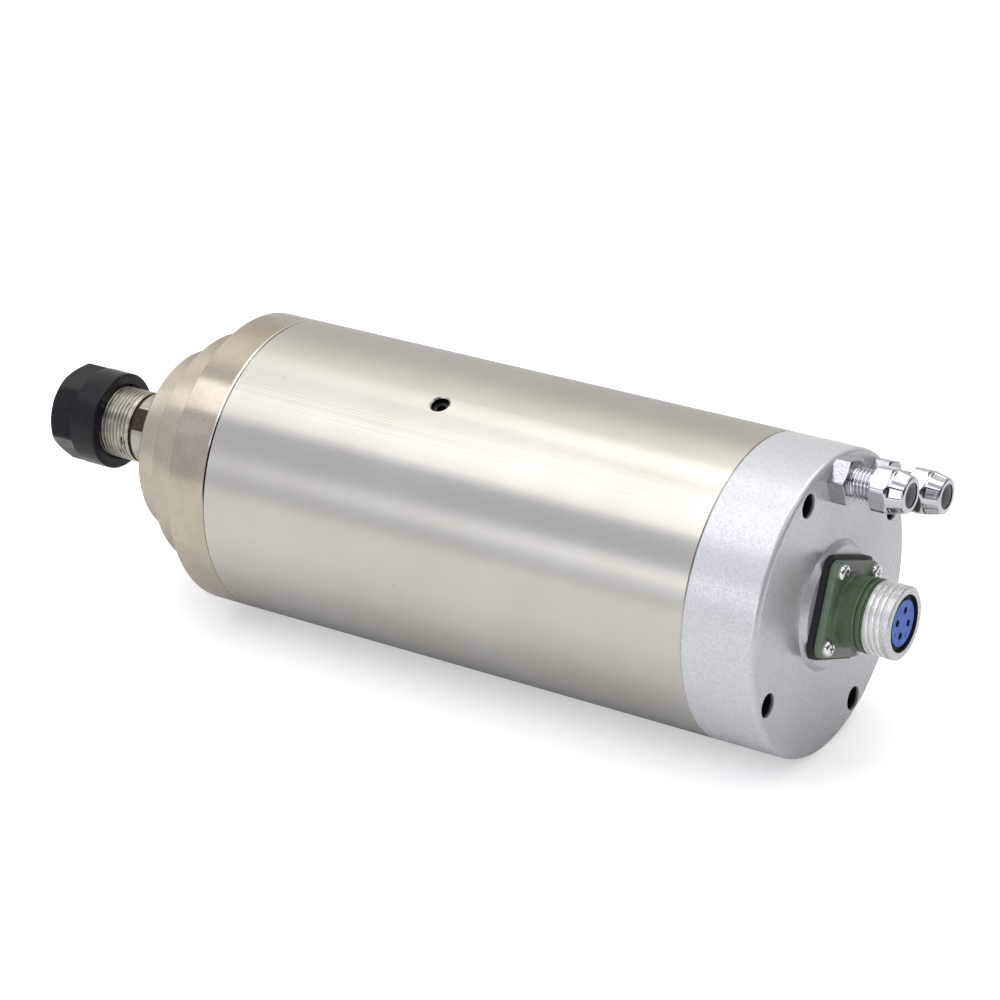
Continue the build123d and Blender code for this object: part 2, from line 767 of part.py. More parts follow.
with BuildPart() as liner:
    with BuildSketch(facing_back(gasket_top)):
        Circle(ring_bore - seat_fit)
        Circle(liner_bore, mode=Mode.SUBTRACT)
    extrude(amount=shell_top - liner_setback - gasket_top)
save(liner.part, "connector_liner")

insert_face = shell_top - insert_setback
with BuildPart() as insert:
    with BuildSketch(facing_back(gasket_top)):
        Circle(insert_radius)
        with PolarLocations(socket_circle / 2, socket_count):
            Circle(socket_radius, mode=Mode.SUBTRACT)
    extrude(amount=insert_face - gasket_top)
save(insert.part, "connector_insert")

contact_front = insert_face - socket_setback
contact_back = gasket_top - solder_cup_length
with BuildPart() as contacts:
    with BuildSketch(facing_back(contact_back)):
        with PolarLocations(socket_circle / 2, socket_count):
            Circle(socket_radius - seat_fit)
    extrude(amount=contact_front - contact_back)
    with BuildSketch(facing_back(contact_front)):
        with PolarLocations(socket_circle / 2, socket_count):
            Circle(socket_radius - seat_fit - socket_wall)
    extrude(amount=-socket_depth, mode=Mode.SUBTRACT)
save(contacts.part, "connector_contacts")

# Motor leads: back from the contacts and out, three through the bearing plate's windows to the winding
# and the earth lead to the plate itself
lead_turn = cover_front + lead_turn_place
window_reach = (hub_radius + cover_cavity) / 2
lead_routes = [(90, 90, window_reach, winding_end), (180, 210, window_reach, winding_end),
               (270, 270, earth_lead_reach, cover_front), (0, 330, window_reach, winding_end)]
with BuildPart() as leads:
    for contact_angle, end_angle, reach, lead_end in lead_routes:
        contact = Vector(socket_circle / 2, 0, 0).rotate(Axis.Z, contact_angle)
        inner = facing_back(0).from_local_coords(contact)
        outer = facing_back(0).from_local_coords(Vector(reach, 0, 0).rotate(Axis.Z, end_angle))
        with BuildLine() as route:
            FilletPolyline(
                inner + Vector(contact_back, 0, 0), inner + Vector(lead_turn, 0, 0),
                outer + Vector(lead_turn, 0, 0), outer + Vector(lead_end, 0, 0), radius=lead_bend,
            )
        with BuildSketch(Plane(origin=route.line @ 0, z_dir=route.line % 0)):
            Circle(lead_radius)
        sweep(path=route.line)
save(leads.part, "motor_leads")

with BuildPart() as shell_screws:
    with BuildSketch(facing_back(plate_top)):
        with Locations(*shell_hole_places):
            Circle(pan_head_radius)
    extrude(amount=pan_head_length)
    fillet(shell_screws.edges().filter_by(GeomType.CIRCLE).group_by(Axis.X)[-1], radius=pan_head_round)
    with BuildSketch(facing_back(plate_top + pan_head_length)):
        with Locations(*shell_hole_places):
            Rectangle(cross_width, cross_reach)
            Rectangle(cross_reach, cross_width)
    extrude(amount=-cross_depth, mode=Mode.SUBTRACT)
    with BuildSketch(facing_back(plate_top)):
        with Locations(*shell_hole_places):
            Circle(pan_radius)
    extrude(amount=-(plate_top - boss_top) - pan_grip)
save(shell_screws.part, "connector_screws")

# Hose fittings: a hexagon body with a barbed stem, and the tapered nut that grips the hose
foot_end = cover_back - fitting_foot_length
hex_top = cover_back + fitting_hex_length
nut_start = hex_top + fitting_thread_length
nut_top = nut_start + hose_nut_length
land_start = nut_top - hose_land
stem_tip = land_start - stem_setback
nut_cone_start = nut_start + hose_nut_hex_length + hose_nut_shoulder_length
nut_corner_radius = hose_nut_flats / 2 + hose_nut_corner_cut
nut_thread_radius = fitting_thread_radius + thread_fit


def turned_on_fitting(centre, points):
    """A piece turned about one fitting's own axis, from (x, radius) points."""
    with BuildPart() as piece:
        with BuildSketch(Plane(origin=centre, x_dir=(1, 0, 0), z_dir=(0, -1, 0))):
            with BuildLine():
                Polyline(*points, close=True)
            make_face()
        revolve(axis=Axis(centre, (1, 0, 0)))
    return piece.part


for index, side in enumerate(("inlet", "outlet")):
    place = fitting_places[index]
    centre = facing_back(0).from_local_coords(Vector(*place, 0))
    stem_profile = turned_on_fitting(centre, [
        (foot_end, stem_bore), (foot_end, fitting_foot_radius), (hex_top, fitting_foot_radius),
        (hex_top, fitting_thread_radius),
        (nut_start + fitting_thread_hidden, fitting_thread_radius),
        (nut_start + fitting_thread_hidden, stem_radius), (stem_tip - barb_length, stem_radius),
        (stem_tip - barb_length, stem_radius + barb_height), (stem_tip, stem_radius), (stem_tip, stem_bore),
    ])
    with BuildPart() as fitting:
        with BuildSketch(facing_back(cover_back)):
            with Locations(place):
                RegularPolygon(fitting_hex / 2, 6, major_radius=False, rotation=fitting_turns[index])
                Circle(stem_bore, mode=Mode.SUBTRACT)
        extrude(amount=fitting_hex_length)
        add(stem_profile)
    save(fitting.part, f"{side}_fitting")

    nut_profile = turned_on_fitting(centre, [
        (nut_start, nut_thread_radius), (nut_start, nut_corner_radius - hose_nut_edge),
        (nut_start + hose_nut_edge, nut_corner_radius), (nut_start + hose_nut_hex_length, nut_corner_radius),
        (nut_cone_start, hose_nut_shoulder_radius), (nut_top - hose_nut_lip, hose_nut_nose_radius),
        (nut_top, hose_nut_nose_radius - hose_nut_lip), (nut_top, hose_bore), (land_start, hose_bore),
        (land_start - hose_nut_seat_length, nut_thread_radius),
    ])
    with BuildPart() as hose_nut:
        add(nut_profile)
        with BuildSketch(facing_back(nut_start)):
            with Locations(place):
                Circle(2 * hose_nut_flats)
                RegularPolygon(hose_nut_flats / 2, 6, major_radius=False, rotation=hose_nut_turns[index],
                               mode=Mode.SUBTRACT)
        extrude(amount=hose_nut_length, mode=Mode.SUBTRACT)
        for corner in range(6):
            turn = radians(60 * corner + hose_nut_turns[index] - rest_roll)
            flute = Plane(origin=centre, x_dir=(1, 0, 0), z_dir=(0, sin(turn), -cos(turn)))
            with BuildSketch(flute):
                with BuildLine():
                    Polyline(
                        (nut_cone_start + hose_nut_flute_start, hose_nut_shoulder_radius),
                        (nut_top, hose_nut_nose_radius - hose_nut_flute_depth),
                        (nut_top, hose_nut_shoulder_radius), close=True,
                    )
                make_face()
            extrude(amount=hose_nut_flats / 2, both=True, mode=Mode.SUBTRACT)
    save(hose_nut.part, f"{side}_hose_nut")

# Collet: a slit taper with the groove that the nut's lip pulls on
groove_radius = collet_radius - collet_groove_depth
collet_back = collet_front + collet_length
collet_tail_radius = collet_radius - (collet_length - collet_groove_end) * taper_slope
collet_blank = turned([
    (collet_front, collet_bore), (collet_front, groove_radius),
    (collet_front + collet_head, collet_radius), (collet_front + collet_groove_start, collet_radius),
    (collet_front + collet_groove_start, groove_radius), (collet_front + collet_groove_end, groove_radius),
    (collet_front + collet_groove_end, collet_radius), (collet_back, collet_tail_radius),
    (collet_back, collet_bore),
])
with BuildPart() as collet:
    add(collet_blank)
    for index in range(2 * collet_slits):
        slit_start = collet_front + (slit_bridge if index % 2 else 0)
        turn = slit_turn + 180 * index / collet_slits
        with BuildSketch(across(slit_start, turn)):
            with Locations((collet_radius, 0)):
                Rectangle(2 * (collet_radius - collet_bore / 2), slit_width)
        extrude(amount=collet_length - slit_bridge, mode=Mode.SUBTRACT)
save(collet.part, "collet")

# Collet nut: round behind, hexagon in front, with the cone and lip that seat and pull the collet
nut_back = nut_front + nut_length
lip_front = collet_front + collet_groove_start + lip_play
lip_back = collet_front + collet_groove_end - lip_play
cone_slope = (collet_radius - groove_radius) / collet_head
nut_bore = nose_radius + thread_fit
nut_ring = turned([
    (nut_front, groove_radius + cone_fit - cone_slope * collet_recess), (nut_front, nut_front_radius),
    (nut_front + (nut_radius - nut_front_radius) * nut_front_slope, nut_radius),
    (nut_back - nut_edge, nut_radius), (nut_back, nut_radius - nut_edge),
    (nut_back, nut_bore + nut_thread_lead), (nut_back - nut_thread_lead, nut_bore),
    (lip_back + nut_thread_lead, nut_bore), (lip_back, collet_radius + lip_play),
    (lip_back, groove_radius + lip_play), (lip_front, groove_radius + lip_play),
    (lip_front, collet_radius + lip_play), (collet_front + collet_head, collet_radius + cone_fit),
])
with BuildPart() as collet_nut:
    add(nut_ring)
    with BuildSketch(across(nut_front, nut_turned)):
        Circle(2 * nut_radius)
        RegularPolygon(nut_flats / 2, 6, major_radius=False, mode=Mode.SUBTRACT)
    extrude(amount=nut_flat_length, mode=Mode.SUBTRACT)
save(collet_nut.part, "collet_nut")
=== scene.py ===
import json
import math

import bmesh
import bpy
import numpy as np
from mathutils import Matrix, Vector


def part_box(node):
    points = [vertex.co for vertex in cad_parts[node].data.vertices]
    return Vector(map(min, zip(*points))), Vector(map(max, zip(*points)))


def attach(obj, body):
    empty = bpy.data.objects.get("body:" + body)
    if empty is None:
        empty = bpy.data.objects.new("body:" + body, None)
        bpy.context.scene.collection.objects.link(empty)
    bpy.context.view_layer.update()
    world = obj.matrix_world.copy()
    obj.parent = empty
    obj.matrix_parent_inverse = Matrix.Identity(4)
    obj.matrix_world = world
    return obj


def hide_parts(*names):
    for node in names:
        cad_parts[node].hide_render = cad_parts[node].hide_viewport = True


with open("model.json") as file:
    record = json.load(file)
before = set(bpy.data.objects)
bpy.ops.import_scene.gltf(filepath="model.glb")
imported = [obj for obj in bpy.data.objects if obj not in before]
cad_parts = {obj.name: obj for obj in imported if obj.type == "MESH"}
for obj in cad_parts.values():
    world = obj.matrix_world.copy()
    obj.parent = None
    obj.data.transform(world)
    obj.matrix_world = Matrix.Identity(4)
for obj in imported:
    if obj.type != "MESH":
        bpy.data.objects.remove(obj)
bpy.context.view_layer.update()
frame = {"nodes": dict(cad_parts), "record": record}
nodes = frame["nodes"]
bodyOf = {node: body for body, names in frame["record"]["behaviour"]["bodies"].items() for node in names}
slotOf = {part["node"]: part["material_slot"] for part in frame["record"]["subparts"]}
print("frame loaded:", len(nodes), "nodes")

mm = 0.001
bodyRoll = math.radians(20.8)  # the rear cover's own up leans this far from straight up


# Sizes read off the frame, in millimetres along the spindle axis
def ends(node):
    low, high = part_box(node)
    return low.x / mm, high.x / mm


shaftNose, shaftTail = ends("shaft")
capFront = ends("bearing_cap")[0]
stepStart = -14.5  # the flange is behind this place, its two steps in front
nutFront, nutBack = ends("collet_nut")
bossHeight = 2.0  # the gasket lies on a boss that stands this far off the rear cover
coverBack = ends("connector_gasket")[0] - bossHeight
plateFoot, ringEnd = ends("connector_shell")
hoseNutStart, hoseNutEnd = ends("inlet_hose_nut")
insertFace = ends("connector_insert")[1]


# A colour written as sRGB hex, turned to the linear values that shaders take
def linear(hexText):
    values = [int(hexText[i:i + 2], 16) / 255 for i in (1, 3, 5)]
    return tuple(v / 12.92 if v <= 0.04045 else ((v + 0.055) / 1.055) ** 2.4 for v in values) + (1.0,)


# One node with its settings and links. Its inputs are given by name, or in the order in which the node shows
# them; each is a value, a hex colour, a node's output, or a node, which then gives the first output it shows
def addNode(tree, kind, inputs=(), **settings):
    node = tree.nodes.new("ShaderNode" + kind)
    for name, value in settings.items():
        setattr(node, name, value)
    if isinstance(inputs, dict):
        pairs = [(node.inputs[name], value) for name, value in inputs.items()]
    else:
        pairs = list(zip([socket for socket in node.inputs if socket.enabled], inputs))
    for socket, value in pairs:
        if isinstance(value, bpy.types.Node):
            value = next(output for output in value.outputs if output.enabled)
        if isinstance(value, bpy.types.NodeSocket):
            tree.links.new(value, socket)
        else:
            socket.default_value = linear(value) if isinstance(value, str) else value
    return node


def newMaterial(name):
    material = bpy.data.materials.new(name)
    material.use_nodes = True
    tree = material.node_tree
    for node in list(tree.nodes):
        tree.nodes.remove(node)
    place = addNode(tree, "TexCoord").outputs["Object"]
    return material, tree, place


smooth = {"interpolation_type": "SMOOTHSTEP"}
colours = {"data_type": "RGBA"}
middleOfNoise = (0.35, 0.65)  # about half of a noise's values lie between these
mostOfNoise = (0.3, 0.7)


# One between two soft edges and nought outside them: it rises from the first edge to the second, and falls from
# the third to the fourth
def softBand(tree, value, edges, unit):
    first, second, third, fourth = [edge * unit for edge in edges]
    rise = addNode(tree, "MapRange", [value, first, second], **smooth)
    fall = addNode(tree, "MapRange", [value, fourth, third], **smooth)
    return addNode(tree, "Math", [rise, fall], operation="MULTIPLY")


# The thin joint between flange and sleeve, in millimetres: a dark hair line, which along the front, where
# little light gets in, widens into a band of painted shade
seamLook = {"colour": "#191613", "thin": 0.09, "open": 0.36, "heights": (2.0, 9.0, 28.0, 35.0), "front": 10.0}


# Where the joint's dark hair line and its band of painted shade lie, at a place
def jointLineAndShade(tree, place):
    look = seamLook
    x, y, z = addNode(tree, "SeparateXYZ", [place]).outputs
    gap = addNode(tree, "Math", [x], operation="ABSOLUTE")
    wide = softBand(tree, z, look["heights"], mm)
    front = addNode(tree, "MapRange", [y, look["front"] * mm, -look["front"] * mm], **smooth)
    wide = addNode(tree, "Math", [wide, front], operation="MULTIPLY")
    reach = addNode(tree, "MapRange", [wide, 0.0, 1.0, look["thin"] * mm, look["open"] * mm])
    return addNode(tree, "Math", [gap, reach], operation="LESS_THAN")


# Stainless steel tube, drawn and polished along its length: reflections smear out along it in thin streaks,
# with a few tiny pits, thin streaks of painted highlight high on the front side and painted shade in the set
# screw's hole
sleeveSteelLook = {
    "tone": "#cbc9c0", "shade": "#c6c3b9", "bright": "#e9e4d6", "pit": "#857b70", "hole": "#1d1916",
    "roughness": 0.3, "roughSpread": 0.015, "anisotropy": 0.8, "streakMm": (200.0, 0.5), "streakDepth": 0.009,
    "grainMm": 0.3846, "grainDepth": 0.001, "cloudMm": 33.33, "pitEveryMm": 12.5, "pitSize": (0.012, 0.03),
    "pitStrength": 0.6, "lineMm": (333.33, 0.35), "highlightStreakHeights": (34.0, 36.0, 40.5, 42.5), "highlightStreakStrength": 0.55,
    "highlightStreakShare": (0.56, 0.66),
}
setScrewHole = {"x": 74.6, "angle": 114.2, "radius": 3.1, "margin": 0.25, "wallFrom": 49.42}


# The wall of the set screw's hole, below the bright countersink, is darkened with painted shade
def holeWallShade(tree, place):
    hole = setScrewHole
    turn = math.radians(90 - hole["angle"])
    own = addNode(tree, "Mapping", {"Vector": place, "Rotation": (turn, 0.0, 0.0)})
    x, y, z = addNode(tree, "SeparateXYZ", [own]).outputs
    along = addNode(tree, "Math", [x, hole["x"] * mm], operation="SUBTRACT")
    far = addNode(tree, "VectorMath", [addNode(tree, "CombineXYZ", [along, y])], operation="LENGTH")
    near = addNode(tree, "Math", [far, (hole["radius"] + hole["margin"]) * mm], operation="LESS_THAN")
    height = addNode(tree, "VectorMath", [addNode(tree, "CombineXYZ", [y, z])], operation="LENGTH")
    below = addNode(tree, "Math", [height, hole["wallFrom"] * mm], operation="LESS_THAN")
    upper = addNode(tree, "Math", [z, 0.0], operation="GREATER_THAN")
    wall = addNode(tree, "Math", [near, below], operation="MULTIPLY")
    return addNode(tree, "Math", [wall, upper], operation="MULTIPLY")


def polishedStainlessTube():
    look = sleeveSteelLook
    material, tree, place = newMaterial("polishedStainlessTube")
    along, across = [1 / (size * mm) for size in look["streakMm"]]
    drawn = addNode(tree, "Mapping", {"Vector": place, "Scale": (along, across, across)})
    streaks = addNode(tree, "TexNoise", {"Vector": drawn, "Scale": 1.0, "Detail": 2.0})
    grain = addNode(tree, "TexNoise", {"Vector": place, "Scale": 1 / (look["grainMm"] * mm), "Detail": 2.0})
    cloud = addNode(tree, "TexNoise", {"Vector": place, "Scale": 1 / (look["cloudMm"] * mm), "Detail": 3.0})
    cells = addNode(tree, "TexVoronoi", {"Vector": place, "Scale": 1 / (look["pitEveryMm"] * mm)})
    small, large = look["pitSize"]
    pits = addNode(tree, "MapRange", [cells, large, small], **smooth)
    pits = addNode(tree, "Math", [pits, look["pitStrength"]], operation="MULTIPLY")
    tint = addNode(tree, "MapRange", [cloud, *middleOfNoise])
    colour = addNode(tree, "Mix", [tint, look["tone"], look["shade"]], **colours)
    # thin streaks of painted highlight, high on the front side where the overhead light is reflected
    x, y, z = addNode(tree, "SeparateXYZ", [place]).outputs
    highlightBand = softBand(tree, z, look["highlightStreakHeights"], mm)
    front = addNode(tree, "Math", [y, 0.0], operation="LESS_THAN")
    highlightBand = addNode(tree, "Math", [highlightBand, front], operation="MULTIPLY")
    along, across = [1 / (size * mm) for size in look["lineMm"]]
    lines = addNode(tree, "Mapping", {"Vector": place, "Scale": (along, across, across)})
    lines = addNode(tree, "TexNoise", {"Vector": lines, "Scale": 1.0, "Detail": 1.0})
    lines = addNode(tree, "MapRange", [lines, *look["highlightStreakShare"]], **smooth)
    lines = addNode(tree, "Math", [lines, highlightBand], operation="MULTIPLY")
    lines = addNode(tree, "Math", [lines, look["highlightStreakStrength"]], operation="MULTIPLY")
    colour = addNode(tree, "Mix", [lines, colour, look["bright"]], **colours)
    colour = addNode(tree, "Mix", [pits, colour, look["pit"]], **colours)
    # painted shade on the upper wall of the set screw's hole
    colour = addNode(tree, "Mix", [holeWallShade(tree, place), colour, look["hole"]], **colours)
    # the joint's dark hair line, widened along the front into painted shade
    colour = addNode(tree, "Mix", [jointLineAndShade(tree, place), colour, seamLook["colour"]], **colours)
    relief = addNode(tree, "Bump", {"Height": streaks, "Strength": 1.0, "Distance": look["streakDepth"] * mm})
    relief = addNode(tree, "Bump", {
        "Height": grain, "Strength": 0.35, "Distance": look["grainDepth"] * mm, "Normal": relief,
    })
    rough = look["roughness"]
    shader = addNode(tree, "BsdfPrincipled", {
        "Base Color": colour, "Metallic": 1.0, "Normal": relief,
        "Anisotropic": look["anisotropy"], "Anisotropic Rotation": 0.25,
        "Tangent": addNode(tree, "Tangent", direction_type="RADIAL", axis="X"),
        "Roughness": addNode(tree, "MapRange", [cloud, *mostOfNoise, rough, rough + look["roughSpread"]]),
    })
    addNode(tree, "OutputMaterial", {"Surface": shader})
    return material


# Steel, fine turned and satin nickel plated: warm and a little yellow beside the sleeve. The flange's edge
# beside the sleeve is bevelled, and along its upper part a thin white line of painted highlight stands for the
# light it catches
nickelLook = {
    "tone": "#c1b9a9", "shade": "#b5ac9d", "tintShare": (0.4, 0.68), "dirt": "#8a7c68",
    "dirtShare": (0.55, 0.75), "dirtStrength": 0.2, "roughness": 0.15, "roughSpread": 0.06,
    "stepRoughness": 0.13, "lineMm": (0.15, 50.0), "lineDepth": 0.0008, "cloudMm": 11.11, "speckMm": 1.4286,
    "speckDepth": 0.004,
}
flangeBevel = {"width": 1.0, "rise": 0.27, "heights": (20.0, 27.0), "tone": "#f6f4ee", "highlightFrom": 0.5}


def satinNickelPlate():
    look, edge = nickelLook, flangeBevel
    material, tree, place = newMaterial("satinNickelPlate")
    along, across = [1 / (size * mm) for size in look["lineMm"]]
    turned = addNode(tree, "Mapping", {"Vector": place, "Scale": (along, across, across)})
    lines = addNode(tree, "TexNoise", {"Vector": turned, "Scale": 1.0, "Detail": 2.0})
    cloud = addNode(tree, "TexNoise", {"Vector": place, "Scale": 1 / (look["cloudMm"] * mm), "Detail": 4.0})
    speck = addNode(tree, "TexNoise", {"Vector": place, "Scale": 1 / (look["speckMm"] * mm), "Detail": 2.0})
    tint = addNode(tree, "MapRange", [cloud, *look["tintShare"]])
    colour = addNode(tree, "Mix", [tint, look["tone"], look["shade"]], **colours)
    dirt = addNode(tree, "MapRange", [speck, *look["dirtShare"], 0.0, look["dirtStrength"]])
    colour = addNode(tree, "Mix", [dirt, colour, look["dirt"]], **colours)
    # the joint's dark hair line, widened along the front into painted shade
    colour = addNode(tree, "Mix", [jointLineAndShade(tree, place), colour, seamLook["colour"]], **colours)
    relief = addNode(tree, "Bump", {"Height": lines, "Strength": 0.3, "Distance": look["lineDepth"] * mm})
    relief = addNode(tree, "Bump", {
        "Height": speck, "Strength": 0.3, "Distance": look["speckDepth"] * mm, "Normal": relief,
    })
    x, y, z = addNode(tree, "SeparateXYZ", [place]).outputs
    upper = addNode(tree, "MapRange", [z, *[height * mm for height in edge["heights"]]], **smooth)
    bevel = addNode(tree, "MapRange", [x, -edge["width"] * mm, 0.0, 1.0, 0.0])
    bevel = addNode(tree, "Math", [bevel, upper], operation="MULTIPLY")
    # a thin line of painted highlight on the bevel's upper part, ending short of the joint
    paintedRimHighlight = addNode(tree, "MapRange", [x, -edge["width"] * mm, -edge["highlightFrom"] * mm], **smooth)
    paintedRimHighlight = addNode(tree, "Math", [upper, paintedRimHighlight], operation="MULTIPLY")
    beforeSeam = addNode(tree, "Math", [x, -seamLook["thin"] * mm], operation="LESS_THAN")
    paintedRimHighlight = addNode(tree, "Math", [paintedRimHighlight, beforeSeam], operation="MULTIPLY")
    colour = addNode(tree, "Mix", [paintedRimHighlight, colour, edge["tone"]], **colours)
    relief = addNode(tree, "Bump", {
        "Height": bevel, "Strength": 1.0, "Distance": edge["rise"] * mm, "Normal": relief,
    })
    # the steps and the cap in front of the flange are a little duller than its rim
    steps = addNode(tree, "Math", [x, stepStart * mm], operation="LESS_THAN")
    steps = addNode(tree, "Math", [steps, look["stepRoughness"]], operation="MULTIPLY")
    rough = look["roughness"]
    rough = addNode(tree, "MapRange", [cloud, *mostOfNoise, rough, rough + look["roughSpread"]])
    shader = addNode(tree, "BsdfPrincipled", {
        "Base Color": colour, "Metallic": 1.0, "Normal": relief,
        "Roughness": addNode(tree, "Math", [rough, steps], operation="ADD"),
    })
    addNode(tree, "OutputMaterial", {"Surface": shader})
    return material


# Silver metallic paint sprayed on a casting: pale grey with a fine sparkle of flakes, half gloss. Inside the
# four bare bolt holes the casting is darkened with painted shade. Real flakes are about 0.03 mm; these are
# coarser so that they show
silverPaintLook = {
    "tone": "#cfd1d4", "flake": "#e8e9eb", "dark": "#b0b2b5", "flakeMm": 0.26, "flakeDepth": 0.01,
    "brightShare": (0.7, 1.0), "brightStrength": 0.9, "darkShare": 0.25, "darkStrength": 0.7, "roughness": 0.31,
    "roughSpread": 0.06, "metallic": 0.42, "peelMm": 1.111, "peelDepth": 0.01,
}
boltHoleShade = {
    "tone": "#2b2c2f", "offset": 31.113, "radius": 3.97, "margin": 0.08, "darkFrom": 0.25, "darkBy": 1.3,
}


def silverMetallicPaint():
    look, holes = silverPaintLook, boltHoleShade
    material, tree, place = newMaterial("silverMetallicPaint")
    cells = addNode(tree, "TexVoronoi", {"Vector": place, "Scale": 1 / (look["flakeMm"] * mm)})
    glint = addNode(tree, "SeparateColor", [cells.outputs["Color"]])
    bright = addNode(tree, "MapRange", [glint, *look["brightShare"], 0.0, look["brightStrength"]])
    colour = addNode(tree, "Mix", [bright, look["tone"], look["flake"]], **colours)
    dark = addNode(tree, "MapRange", [glint, 0.0, look["darkShare"], look["darkStrength"], 0.0])
    colour = addNode(tree, "Mix", [dark, colour, look["dark"]], **colours)
    # the bolt holes are found on the cover's own axes
    own = addNode(tree, "Mapping", {"Vector": place, "Rotation": (bodyRoll, 0.0, 0.0)})
    own = addNode(tree, "VectorMath", [own], operation="ABSOLUTE")
    x, y, z = addNode(tree, "SeparateXYZ", [own]).outputs
    apart = [addNode(tree, "Math", [axis, holes["offset"] * mm], operation="SUBTRACT") for axis in (y, z)]
    far = addNode(tree, "VectorMath", [addNode(tree, "CombineXYZ", apart)], operation="LENGTH")
    inside = addNode(tree, "Math", [far, (holes["radius"] + holes["margin"]) * mm], operation="LESS_THAN")
    # painted shade inside the bolt holes, deepening away from the cover's face
    depths = [(coverBack - holes[name]) * mm for name in ("darkFrom", "darkBy")]
    deep = addNode(tree, "MapRange", [x, *depths], **smooth)
    inside = addNode(tree, "Math", [inside, deep], operation="MULTIPLY")
    colour = addNode(tree, "Mix", [inside, colour, holes["tone"]], **colours)
    peel = addNode(tree, "TexNoise", {"Vector": place, "Scale": 1 / (look["peelMm"] * mm), "Detail": 2.0})
    relief = addNode(tree, "Bump", {"Height": peel, "Strength": 0.3, "Distance": look["peelDepth"] * mm})
    relief = addNode(tree, "Bump", {
        "Height": glint, "Strength": 0.12, "Distance": look["flakeDepth"] * mm, "Normal": relief,
    })
    rough, spread = look["roughness"], look["roughSpread"]
    shader = addNode(tree, "BsdfPrincipled", {
        "Base Color": colour, "Metallic": look["metallic"], "Normal": relief,
        "Roughness": addNode(tree, "MapRange", [glint, 0.0, 1.0, rough + spread, rough - spread]),
    })
    addNode(tree, "OutputMaterial", {"Surface": shader})
    return material


# The shaft's sizes in millimetres, and where rust stands in its thread: the place along it and the degrees up
# from the front
shaftSizes = {
    "radius": 12.5, "noseChamfer": 0.6, "threadLength": 25.9, "pitch": 1.5, "threadDepth": 0.55,
    "relief": 1.4, "reliefDepth": 0.9, "flatWidth": 23.4, "flatAngle": 143.5, "shoulder": 15.4,
    "shoulderFrom": 5.0, "shoulderTo": 14.0, "rotorSeat": 12.3, "rotorSeatEnd": 161.0, "tail": 10.0,
    "taperMouth": 10.53, "taperAngle": 8.0, "taperLength": 31.5, "boreDepth": 15.0,
}
rustSpots = [(-64.5, 59), (-63.8, -2), (-63.7, -9), (-62.5, -6), (-65.3, -25), (-64.0, -28), (-62.8, -17)]

# Carbon steel, turned and ground: neutral grey with a few brown specks of rust in the thread
shaftSteelLook = {
    "tone": "#bdb9ae", "shade": "#aaa69b", "stain": "#3a2a1a", "roughness": 0.28, "stainRoughness": 0.4,
    "anisotropy": 0.7, "spotMm": (0.32, 0.9, 0.9), "cloudMm": 3.846, "cloudDepth": 0.004,
}


def groundShaftSteel():
    look = shaftSteelLook
    material, tree, place = newMaterial("groundShaftSteel")
    cloud = addNode(tree, "TexNoise", {"Vector": place, "Scale": 1 / (look["cloudMm"] * mm), "Detail": 3.0})
    spread = [1 / (size * mm) for size in look["spotMm"]]
    wide = addNode(tree, "Mapping", {"Vector": place, "Scale": spread})
    ragged = addNode(tree, "MapRange", [cloud, *mostOfNoise, -0.5, 0.5])
    radius = shaftSizes["radius"] * mm
    specks = 0.0
    for x, degrees in rustSpots:
        angle = math.radians(degrees)
        spot = (x * mm, -radius * math.cos(angle), radius * math.sin(angle))
        spot = [a * b for a, b in zip(spot, spread)]
        far = addNode(tree, "VectorMath", [wide, spot], operation="DISTANCE")
        far = addNode(tree, "Math", [far, ragged], operation="ADD")
        speck = addNode(tree, "MapRange", [far, 1.0, 0.75], **smooth)
        specks = addNode(tree, "Math", [specks, speck], operation="MAXIMUM")
    tint = addNode(tree, "MapRange", [cloud, *middleOfNoise])
    colour = addNode(tree, "Mix", [tint, look["tone"], look["shade"]], **colours)
    colour = addNode(tree, "Mix", [specks, colour, look["stain"]], **colours)
    relief = addNode(tree, "Bump", {"Height": cloud, "Strength": 0.2, "Distance": look["cloudDepth"] * mm})
    rough = look["roughness"]
    shader = addNode(tree, "BsdfPrincipled", {
        "Base Color": colour, "Metallic": 1.0, "Normal": relief,
        "Anisotropic": look["anisotropy"], "Anisotropic Rotation": 0.25,
        "Tangent": addNode(tree, "Tangent", direction_type="RADIAL", axis="X"),
        "Roughness": addNode(tree, "MapRange", [specks, 0.0, 1.0, rough, rough + look["stainRoughness"]]),
    })
    addNode(tree, "OutputMaterial", {"Surface": shader})
    return material


# Steel, black oxide in hot salts and oiled: near black with a soft sheen and grey worn edges
blackOxideLook = {
    "tone": "#1c1d21", "shade": "#2c2d30", "shadeShare": (0.4, 0.62), "shadeStrength": 0.3, "worn": "#4a4c4f",
    "wornShare": (0.53, 0.6), "wornStrength": 0.8, "roughness": 0.32, "cloudMm": 3.333, "cloudDepth": 0.03,
}


